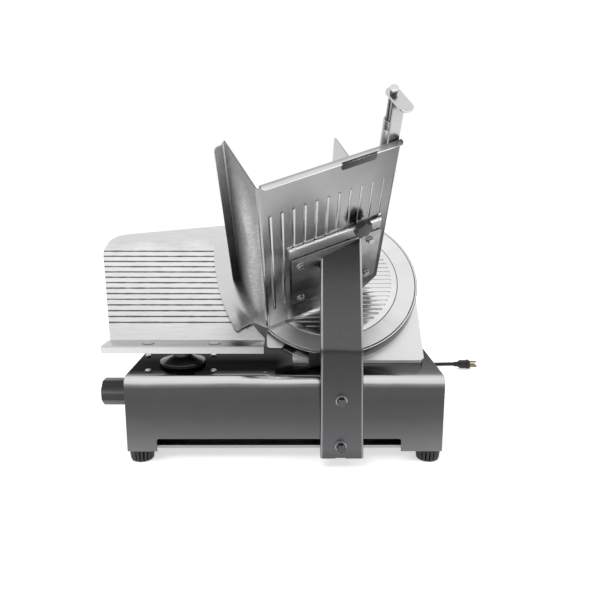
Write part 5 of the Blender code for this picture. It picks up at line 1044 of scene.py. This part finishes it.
# The lip goes on from the floor, round a bend and down, its lower corners rounded
lip_drop, lip_corner = 0.0100, 0.006
lip_turn = np.linspace(0, math.pi / 2, 8)
lip_line = np.vstack([(floor_length - lip_bend - 0.0006, half_sheet),
                      np.column_stack([floor_length - lip_bend + (lip_bend - half_sheet) * np.sin(lip_turn),
                                       -lip_bend + 0.002 + (lip_bend - half_sheet) * np.cos(lip_turn)]),
                      np.column_stack([np.full(12, floor_length - half_sheet),
                                       np.linspace(-0.0035, -lip_drop, 12)])])
lip_way = np.gradient(lip_line, axis=0)
lip_way /= np.linalg.norm(lip_way, axis=1, keepdims=True)
lip_out = np.stack([-lip_way[:, 1], lip_way[:, 0]], 1)
low_part = np.clip(lip_corner - lip_drop - lip_line[:, 1], 0, lip_corner)
narrowed = lip_corner - np.sqrt(np.clip(lip_corner ** 2 - low_part ** 2, 0, None))
across = np.concatenate([np.linspace(0, 0.05, 4), np.linspace(0.1, 0.9, 8), np.linspace(0.95, 1, 4)])
lip_f = (0.003 + narrowed)[:, None] + across[None, :] * (floor_width - 0.0032 - 2 * narrowed)[:, None]
lip_faces = [np.stack([lip_f, np.broadcast_to((lip_line[:, 1] + s * lip_out[:, 1])[:, None], lip_f.shape),
                       np.broadcast_to((lip_line[:, 0] + s * lip_out[:, 0])[:, None], lip_f.shape)], 2)
             for s in (-0.00094, 0.00094)]
# A small grip tab under the lip, and the lug that holds the pusher's rod at its foot
grip_left, grip_right, grip_low = 0.113, 0.165, floor_length - 0.012
grip = plate(rounded([(grip_left, floor_length + 0.001), (grip_left, grip_low, 0.004),
                      (grip_right, grip_low, 0.004), (grip_right, floor_length + 0.001)]),
             -lip_drop, 0.002 - lip_drop, 0.0006)
lug = box((0.188, 0.204), (0.001, 0.024), (0.028, 0.038), 0.0006)


def rib_light_shade_mask(tree, local):
    """Painted light on the ribs: each rib's one side has a painted highlight and its other painted
    shade, from its own distance. Painted shade darkens the whole floor towards its right edge."""
    where = add(tree, "SeparateXYZ", {0: local})
    count = add(tree, "MapRange", {"Value": where.outputs[0], "From Min": rib_first - rib_pitch / 2,
                                   "From Max": rib_first + rib_pitch / 2}, clamp=False)
    near = calculate(tree, "FRACT", count.outputs["Result"])
    profile = add(tree, "ValToRGB", {"Fac": near}, stops=[
        (0.36, "#bcbcbc"), (0.40, "#6e6e6e"), (0.45, "#a8a8a8"), (0.52, "#ffffff"), (0.60, "#d8d8d8"),
        (0.66, "#bcbcbc")])
    level = add(tree, "VectorMath", {0: profile.outputs["Color"], 1: (1.0, 0.0, 0.0)},
                operation="DOT_PRODUCT")
    level = calculate(tree, "MULTIPLY", level.outputs["Value"], 1 / linear("#bcbcbc")[0])
    off = calculate(tree, "ABSOLUTE", calculate(tree, "SUBTRACT", where.outputs[2], (rib_low + rib_high) / 2))
    inside = calculate(tree, "LESS_THAN", off, (rib_high - rib_low) / 2)
    low = calculate(tree, "LESS_THAN", where.outputs[1], 0.004)
    span = calculate(tree, "GREATER_THAN", where.outputs[0], rib_first - rib_pitch / 2)
    ribbed = calculate(tree, "MULTIPLY", inside, low)
    ribbed = calculate(tree, "MULTIPLY", ribbed, span)
    marked = calculate(tree, "MULTIPLY_ADD", ribbed, calculate(tree, "SUBTRACT", level, 1.0), 1.0)
    fall = add(tree, "MapRange", {"Value": where.outputs[0], "From Min": 0.09, "From Max": 0.20,
                                  "To Min": 1.2, "To Max": 0.62})
    return calculate(tree, "MULTIPLY", marked, fall.outputs["Result"])


# Floor stainless, bright rolled, with painted reflection: light at its lip, dark in the middle where it would
# mirror the machine, lighter beside the wall, and with painted light and shade on its ribs
floor_steel = metal("tray_stainless_floor", tray, (0, 0, 1), (0, 0.34), [
    (0.0, "#a4a4a4"), (0.035, "#5c5c5c"), (0.085, "#58585a"), (0.13, "#5a5a5b"), (0.16, "#707071"),
    (0.185, "#868687"), (0.215, "#9c9c9c"), (0.25, "#9c9c9c"), (0.29, "#8c8c8c"), (0.34, "#848484")],
    0.2, cloud=(11.0, 0.05), brush=((500, 500, 40), 0.04), mask=rib_light_shade_mask, other=([
        (0.0, "#c0c0c0"), (0.03, "#bcbcbc"), (0.07, "#acacac"), (0.11, "#d0d0d0"), (0.15, "#dedede"),
        (0.19, "#b8b8b8"), (0.24, "#a0a0a0"), (0.34, "#8c8c8c")], (-1, 0, 0), (-0.055, -0.012)))
# Wall stainless, brushed on the slant: painted shade darkens it at its rims and top. Its own place is
# turned with the brushing
slant = math.radians(-52)
slant_cos, slant_sin = math.cos(slant), math.sin(slant)
wall_place = (tray[0], tray[1] @ np.array([(1, 0, 0), (0, slant_cos, -slant_sin), (0, slant_sin, slant_cos)]))
wall_steel = metal("tray_stainless_wall", wall_place, (0, slant_cos, -slant_sin), (0, 0.12), [
    (0.0, "#cccccc"), (0.012, "#b4b4b4"), (0.035, "#d4d4d4"), (0.055, "#d0d0d0"), (0.072, "#a0a0a0"),
    (0.09, "#808080"), (0.12, "#7a7a7a")], 0.45, cloud=(14.0, 0.02), brush=((60, 22, 420), 0.26), other=([
        (0.0, "#8c8c8c"), (0.035, "#7c7c7c"), (0.08, "#808080"), (0.12, "#8c8c8c")],
        (0, slant_sin, slant_cos), (0.22, 0.30)))
# Flange stainless: in the machine's shade, darker downward
flange_steel = metal("tray_stainless_flange", tray, (0, 0, 1), (0, 0.31), [
    (0.0, "#1e1e1e"), (0.06, "#2e2e2e"), (0.14, "#6a6a6b"), (0.22, "#8a8a8b"), (0.29, "#b0b0b0"),
    (0.31, "#b8b8b8")], 0.36, cloud=(14.0, 0.03), brush=((500, 500, 60), 0.06))
# Lip stainless, rolled: bright, its turned-down face lighter than its roll by painted light, and its
# right end darkened by painted shade
lip_steel = metal("tray_stainless_lip", tray, (1, 0, 0), (0.0, 0.206), [
    (0.0, "#a8a8a8"), (0.10, "#acacac"), (0.185, "#a8a8a8"), (0.197, "#8a8a8a"), (0.203, "#525252"),
    (0.206, "#4c4c4c")], 0.22, cloud=(30.0, 0.002), brush=((40, 500, 500), 0.03), other=([
        (0.0, "#dadada"), (0.185, "#d4d4d4"), (0.197, "#8a8a8a"), (0.206, "#4c4c4c")],
        (0, -1, 0), (0.002, 0.006)))
# Grip tab stainless: dark with painted shade under the lip
grip_steel = metal("tray_stainless_grip", tray, (1, 0, 0), (0.12, 0.175), [
    (0.12, "#3c3c3c"), (0.175, "#505050")], 0.25, cloud=(40.0, 0.005), brush=((500, 500, 40), 0.03))
make("tray_grip_tab", "carriage", grip_steel, (), on(at(tray, order="XZY"), grip))
trough = make("tray_trough", "carriage", floor_steel, ("trough",),
              on(tray, skin(outer, inner)))
carve(trough, on(tray, skin(*lip_faces), lug), how="UNION")
# The fence's slot goes through the floor, and the rod's bore through the lug
fence_slot = plate(pane((0.1065, 0.1955), (0.190, 0.197), 0.0034, 8), -0.005, 0.005, 0.0001)
rod_place = at(tray, (rod_f, rod_w, 0))
carve(trough, on(at(tray, order="XZY"), fence_slot) + on(rod_place, peg(0.0058, 0.025, 0.041, 32)))
sort_faces(trough, tray, (wall_steel, flange_steel, lip_steel), lambda f, w, n: np.select(
    [(f < -0.0021) & (w > 0.116), (f < 0.0005) & (w > 0.004),
     (n > floor_length - lip_bend - 0.0001) & (f > 0.0029)], [2, 1, 3], 0))

# Bracket: a thick plate with rounded corners and four hexagon bolts on washers
# Bracket steel, polished: a painted reflection in dark and light bands along it, lighter near its right end
bracket_steel = metal("bracket_steel_polished", tray, (0, 0, 1), (0.05, 0.17), [
    (0.05, "#6a6a6b"), (0.075, "#4c4c4d"), (0.105, "#5c5c5d"), (0.13, "#7a7a7b"), (0.15, "#8a8a8b"),
    (0.17, "#7c7c7d")], 0.36, cloud=(22.0, 0.07), brush=((600, 600, 40), 0.06), other=([
        (0.05, "#6a6a6b"), (0.09, "#747475"), (0.12, "#88888a"), (0.15, "#9c9c9d"), (0.17, "#909091")],
        (1, 0, 0), (0.14, 0.17)))
bracket_left, bracket_right, bracket_foot, bracket_top = 0.044, 0.196, 0.050, 0.166
make("tray_bracket_plate", "carriage", bracket_steel, ("tray_bracket",), on(
    at(tray, order="XZY"), plate(pane((bracket_left, bracket_right), (bracket_foot, bracket_top), 0.004),
                                 bracket_low, bracket_face, 0.0006)))
# Bolt steel, zinc plated: mid grey with bright edges
bolt_steel = metal("bolt_steel_plated", machine, (0, 0, 1), (0.0, 0.4), [(0.0, "#8b8b8c"), (0.4, "#a9a9aa")],
                   0.25, cloud=(260.0, 0.12), brush=((800, 800, 800), 0.08))
bracket_washer = lathe([(0, 0), (0.0072, 0), (0.0072, 0.0008), (0.0068, 0.0012), (0, 0.0012)], 40)
make("bracket_hex_bolts", "carriage", bolt_steel, (), copies(
    tray, "XZY", [(f, bracket_low, n) for f in (0.058, 0.178) for n in (0.064, 0.148)],
    *turned_over(bracket_washer, hexagon(0.0060, 0.0012, 0.0048, 0.0006))))

# Hand guard: a smooth lobe from the wall's foot over the gauge. Its outline is given as shares of its width
# and of its height
guard_wide, guard_high = 0.052, 0.2086
guard_shares = [(0.02, 1.0), (-0.375, 0.978), (-0.754, 0.693), (-0.969, 0.409), (-1.0, 0.209),
                (-0.969, 0.083), (-0.7, 0.088), (-0.38, 0.093), (-0.23, 0.060), (-0.07, 0.008), (0.02, 0.0)]
guard_line = smoothed([(a * guard_wide, b * guard_high) for a, b in guard_shares], 0.003)
# Guard steel, polished: a painted reflection darkens a band near its foot
guard_steel = metal("guard_steel_polished", tray, (0, 1, 0), (0.0, 0.21), [
    (0.0, "#b8b8b8"), (0.03, "#8e8e8e"), (0.05, "#c4c4c4"), (0.10, "#d2d2d2"), (0.21, "#d6d6d6")], 0.2,
    cloud=(18.0, 0.02), brush=((60, 300, 60), 0.02))
make("finger_guard", "carriage", guard_steel, ("hand_guard",), on(
    tray, plate(guard_line, slack, slack + 0.0022, 0.0006)))

# Fence with its rail and star knob
# The fence is a folded sheet of polished stainless steel inside the trough. Its stud comes out through a slot
# in the floor, over a polished rail, and a star knob on the stud clamps it where it stands.
rail_left, rail_right, rail_foot, rail_top, rail_low = 0.040, 0.194, 0.1668, 0.1895, -0.0038
# Rail steel, polished: painted shade darkens its foot, and a painted highlight runs along its top edge
rail_steel = metal("rail_steel_polished", tray, (0, 0, 1), (rail_foot, rail_top), [
    (rail_foot, "#4a4a4a"), (0.169, "#8a8a8a"), (0.182, "#9c9c9c"), (0.1862, "#b5b5b5"), (0.1875, "#f4f4f4"),
    (rail_top, "#ffffff")], 0.42, cloud=(40.0, 0.001), brush=((40, 500, 500), 0.04))
rail = make("fence_slide_rail", "carriage", rail_steel, ("fence_rail",), on(
    at(tray, order="XZY"), plate(pane((rail_left, rail_right), (rail_foot, rail_top), 0.002),
                                 rail_low, bracket_face, 0.0007)))
# Each rib of the floor has its notch in both edges of the rail, seen as dark dots
carve(rail, copies(tray, "XZY", [
    (f, 0, n) for f in rib_at[(rib_at > 0.045) & (rib_at < 0.19)] for n in (0.1682, 0.1890)],
    peg(0.0013, -0.005, -0.0012, 16)))
# Fence: a blade across the trough and a foot on its floor, which the stud stands on
stud_f, stud_n, foot_half = 0.156, 0.1935, 0.022
fence_steel = metal("fence_stainless_polished", tray, (0, 0, 1), (0.0, 0.32), [
    (0.0, "#a8a8a8"), (0.32, "#bcbcbc")], 0.26, cloud=(14.0, 0.06), brush=((500, 500, 40), 0.03))
fence_blade = plate(rounded([(0.0025, 0.010), (0.062, 0.010, 0.005), (0.062, 0.313, 0.005), (0.0025, 0.313)]),
                    0.139, 0.141, 0.0006)
fence_foot = plate(rounded([(0.1400, stud_n - foot_half), (0.178, stud_n - foot_half, 0.004),
                            (0.178, stud_n + foot_half, 0.004), (0.1400, stud_n + foot_half)]),
                   0.0025, 0.0045, 0.0005)
stud_points, stud_faces = lathe([(0, -0.0141), (0.0022, -0.0141), (0.003, -0.0133), (0.003, 0.0035),
                                 (0, 0.0035)], 24)
make("tray_fence", "fence_body", fence_steel, ("fence",),
     on(at(tray, order="YZX"), fence_blade)
     + on(at(tray, order="XZY"), fence_foot, (stud_points + (stud_f, stud_n, 0), stud_faces)))
# Star knob, moulded in black plastic: its seven lobes come from a cosine of seven times the angle
star_black = moulded("star_phenolic_moulded", "#2b2b2c", "#3d3d3e", 0.4)
star_radius, star_deep, star_lobes, star_power = 0.0150, 0.0026, 7, 0.8
star_turns = np.linspace(0, 2 * math.pi, 144, endpoint=False)
star_reach = star_radius - star_deep * (0.5 - 0.5 * np.cos(star_lobes * star_turns)) ** star_power
star_outline = np.stack([star_reach * np.cos(star_turns), star_reach * np.sin(star_turns)], 1)
star_place = at(tray, (stud_f, 0, stud_n), "ZXY")
star = make("fence_star_knob", "star", star_black, ("fence_knob",), on(
    star_place, plate(star_outline, -0.0195, -0.0095, 0.0012)))
carve(star, on(star_place, peg(0.0065, -0.0100, -0.0041, 40)), "UNION")
carve(star, on(star_place, peg(0.0033, -0.0145, 0.001, 24)))

# Rod, strip and cap of the pusher
# A turned steel rod stands along the trough's right side, in a lug below and in the cap of a flat strip
# above, where a knurled nut holds it. Strip and cap are polished stainless steel.
# Strip and cap stainless, polished: a painted shadow darkens a band just under the cap, and a painted
# highlight lightens the cap's top
strip_steel = metal("strip_stainless_polished", tray, (0, 0, 1), (0.27, 0.397), [
    (0.27, "#a6a6a6"), (0.36, "#aeaeae"), (0.383, "#a6a6a6"), (0.389, "#5a5a5a"), (0.391, "#3c3c3c"),
    (0.3935, "#9a9a9a"), (0.397, "#d0d0d0")], 0.22, cloud=(20.0, 0.001), brush=((500, 500, 30), 0.03))
cap_left, cap_right, cap_front, cap_rear, cap_round = 0.1865, 0.2055, 0.030, -0.020, 0.0094
cap_outline = rounded([(cap_left, cap_front, cap_round), (cap_left, cap_rear, cap_round),
                       (cap_right, cap_rear, cap_round), (cap_right, cap_front, cap_round)], 10)
strip = make("rod_strip_cap", "carriage", strip_steel, ("rod_strip",), on(
    tray, box((0.188, 0.204), (0.0023, 0.0053), (0.270, 0.3955), 0.0005),
    plate(cap_outline, 0.394, 0.397, 0.0007)))
carve(strip, on(rod_place, peg(0.0043, 0.38, 0.41, 32)))
# Rod steel, turned: painted light across it, a highlight on one side of its middle and shade on the other
rod_steel = metal("rod_steel_turned", tray, (1, 0, 0), (0.186, 0.202), [
    (0.186, "#4e4e4f"), (0.190, "#8c8c8d"), (0.194, "#6e6e6f"), (0.198, "#3e3e3f"), (0.202, "#5c5c5d")], 0.2,
    cloud=(60.0, 0.001), brush=((90, 90, 900), 0.05))
knurl_count = 30
knurl = np.linspace(0, 2 * math.pi, 120, endpoint=False)


def knurled(reach, deep, z):
    """The nut's outline at one height: its reach less a depth that waves with a cosine of thirty times the
    angle."""
    r = reach - deep * (0.5 - 0.5 * np.cos(knurl_count * knurl))
    return np.stack([r * np.cos(knurl), r * np.sin(knurl), np.full(len(knurl), z)], 1)


make("pusher_guide_rod", "carriage", rod_steel, ("pusher_rod",), on(
    rod_place, lathe([(0, 0.024), (0.0050, 0.024), (0.0055, 0.0245), (0.0055, 0.3932), (0.0050, 0.3937),
                      (0.004, 0.3937), (0.004, 0.399), (0, 0.399)], 48)))
# Nut steel, knurled: painted light, darker on its knurl and lighter towards its top
nut_steel = metal("nut_steel_knurled", tray, (0, 0, 1), (0.396, 0.408), [
    (0.396, "#7a7a7b"), (0.4015, "#5a5a5b"), (0.403, "#9a9a9b"), (0.4065, "#dadada"), (0.408, "#e0e0e0")],
    0.25, cloud=(200.0, 0.0006))
make("rod_top_nut", "carriage", nut_steel, (), on(
    rod_place, loft([knurled(0.0046, 0.0004, 0.3974), knurled(0.0046, 0.0004, 0.4012),
                     knurled(0.0056, 0, 0.4018), knurled(0.0057, 0, 0.4023), knurled(0.0057, 0, 0.4059),
                     knurled(0.0053, 0, 0.4066)])))

# Pusher
# A cast aluminium plate with short studs hangs from an arm that swings over the fence. The arm's long sleeve
# turns on the rod and slides along it, and a steel collar rests on the sleeve's top.
pusher_cast = metal("pusher_aluminium_cast", tray, (0, 0, 1), (0.05, 0.35), [
    (0.05, "#a2a2a3"), (0.35, "#c4c4c5")], 0.4, cloud=(40.0, 0.05), brush=((700, 700, 700), 0.04))
press_low, press_high, sleeve_bore = 0.058, 0.068, 0.0058
spike_f, spike_w = np.meshgrid(np.linspace(0.020, 0.077, 6), np.linspace(0.018, 0.085, 7))
spike_points, spike_faces = lathe([(0, -0.0026), (0.0008, -0.0024), (0.0016, 0.0004), (0, 0.0004)], 12)
spikes = [(spike_points + (f, w, press_low), spike_faces) for f, w in zip(spike_f.ravel(), spike_w.ravel())]
sleeve = lathe([(sleeve_bore, 0.100), (0.0095, 0.100), (0.0100, 0.1005), (0.0100, 0.1155), (0.0095, 0.116),
                (0.0078, 0.117), (0.0078, 0.3445), (0.0075, 0.345), (sleeve_bore, 0.345)], 48, wrap=True)
reach = plate(rounded([(0.190, 0.0223), (0.198, 0.0223), (0.198, 0.090, 0.012), (0.040, 0.090, 0.004),
                       (0.040, 0.082, 0.003), (0.190, 0.082, 0.005)], 8), 0.100, 0.112, 0.0014)
hanger = box((0.038, 0.056), (0.070, 0.088), (0.063, 0.106), 0.0014, 0.003)
press = box((0.012, 0.085), (0.008, 0.095), (press_low, press_high), 0.0014, 0.010)
make("pusher_swing_arm", "pusher_arm", pusher_cast, ("pusher",),
     on(rod_place, sleeve) + on(tray, reach, hanger, press, *spikes))
make("pusher_stop_collar", "pusher_carrier", turned_steel, ("pusher_collar",), on(
    rod_place, lathe([(sleeve_bore, 0.3453), (0.0073, 0.3453), (0.0078, 0.3458), (0.0078, 0.3585),
                      (0.0073, 0.359), (sleeve_bore, 0.359)], 48, wrap=True)))
# Handle: a turned grip of glossy black plastic
grip_black = moulded("grip_phenolic_moulded", "#070708", "#121213", 0.2)
make("pusher_grip", "pusher_arm", grip_black, ("pusher_handle",), on(
    at(tray, (0.066, 0.0903, 0.106), "ZXY"), lathe([
        (0, 0), (0.0084, 0), (0.0090, 0.0008), (0.0102, 0.006), (0.0116, 0.013), (0.012, 0.020),
        (0.012, 0.030), (0.0114, 0.036), (0.0098, 0.0405), (0.0072, 0.0430), (0.0035, 0.0439), (0, 0.044)],
        64)))
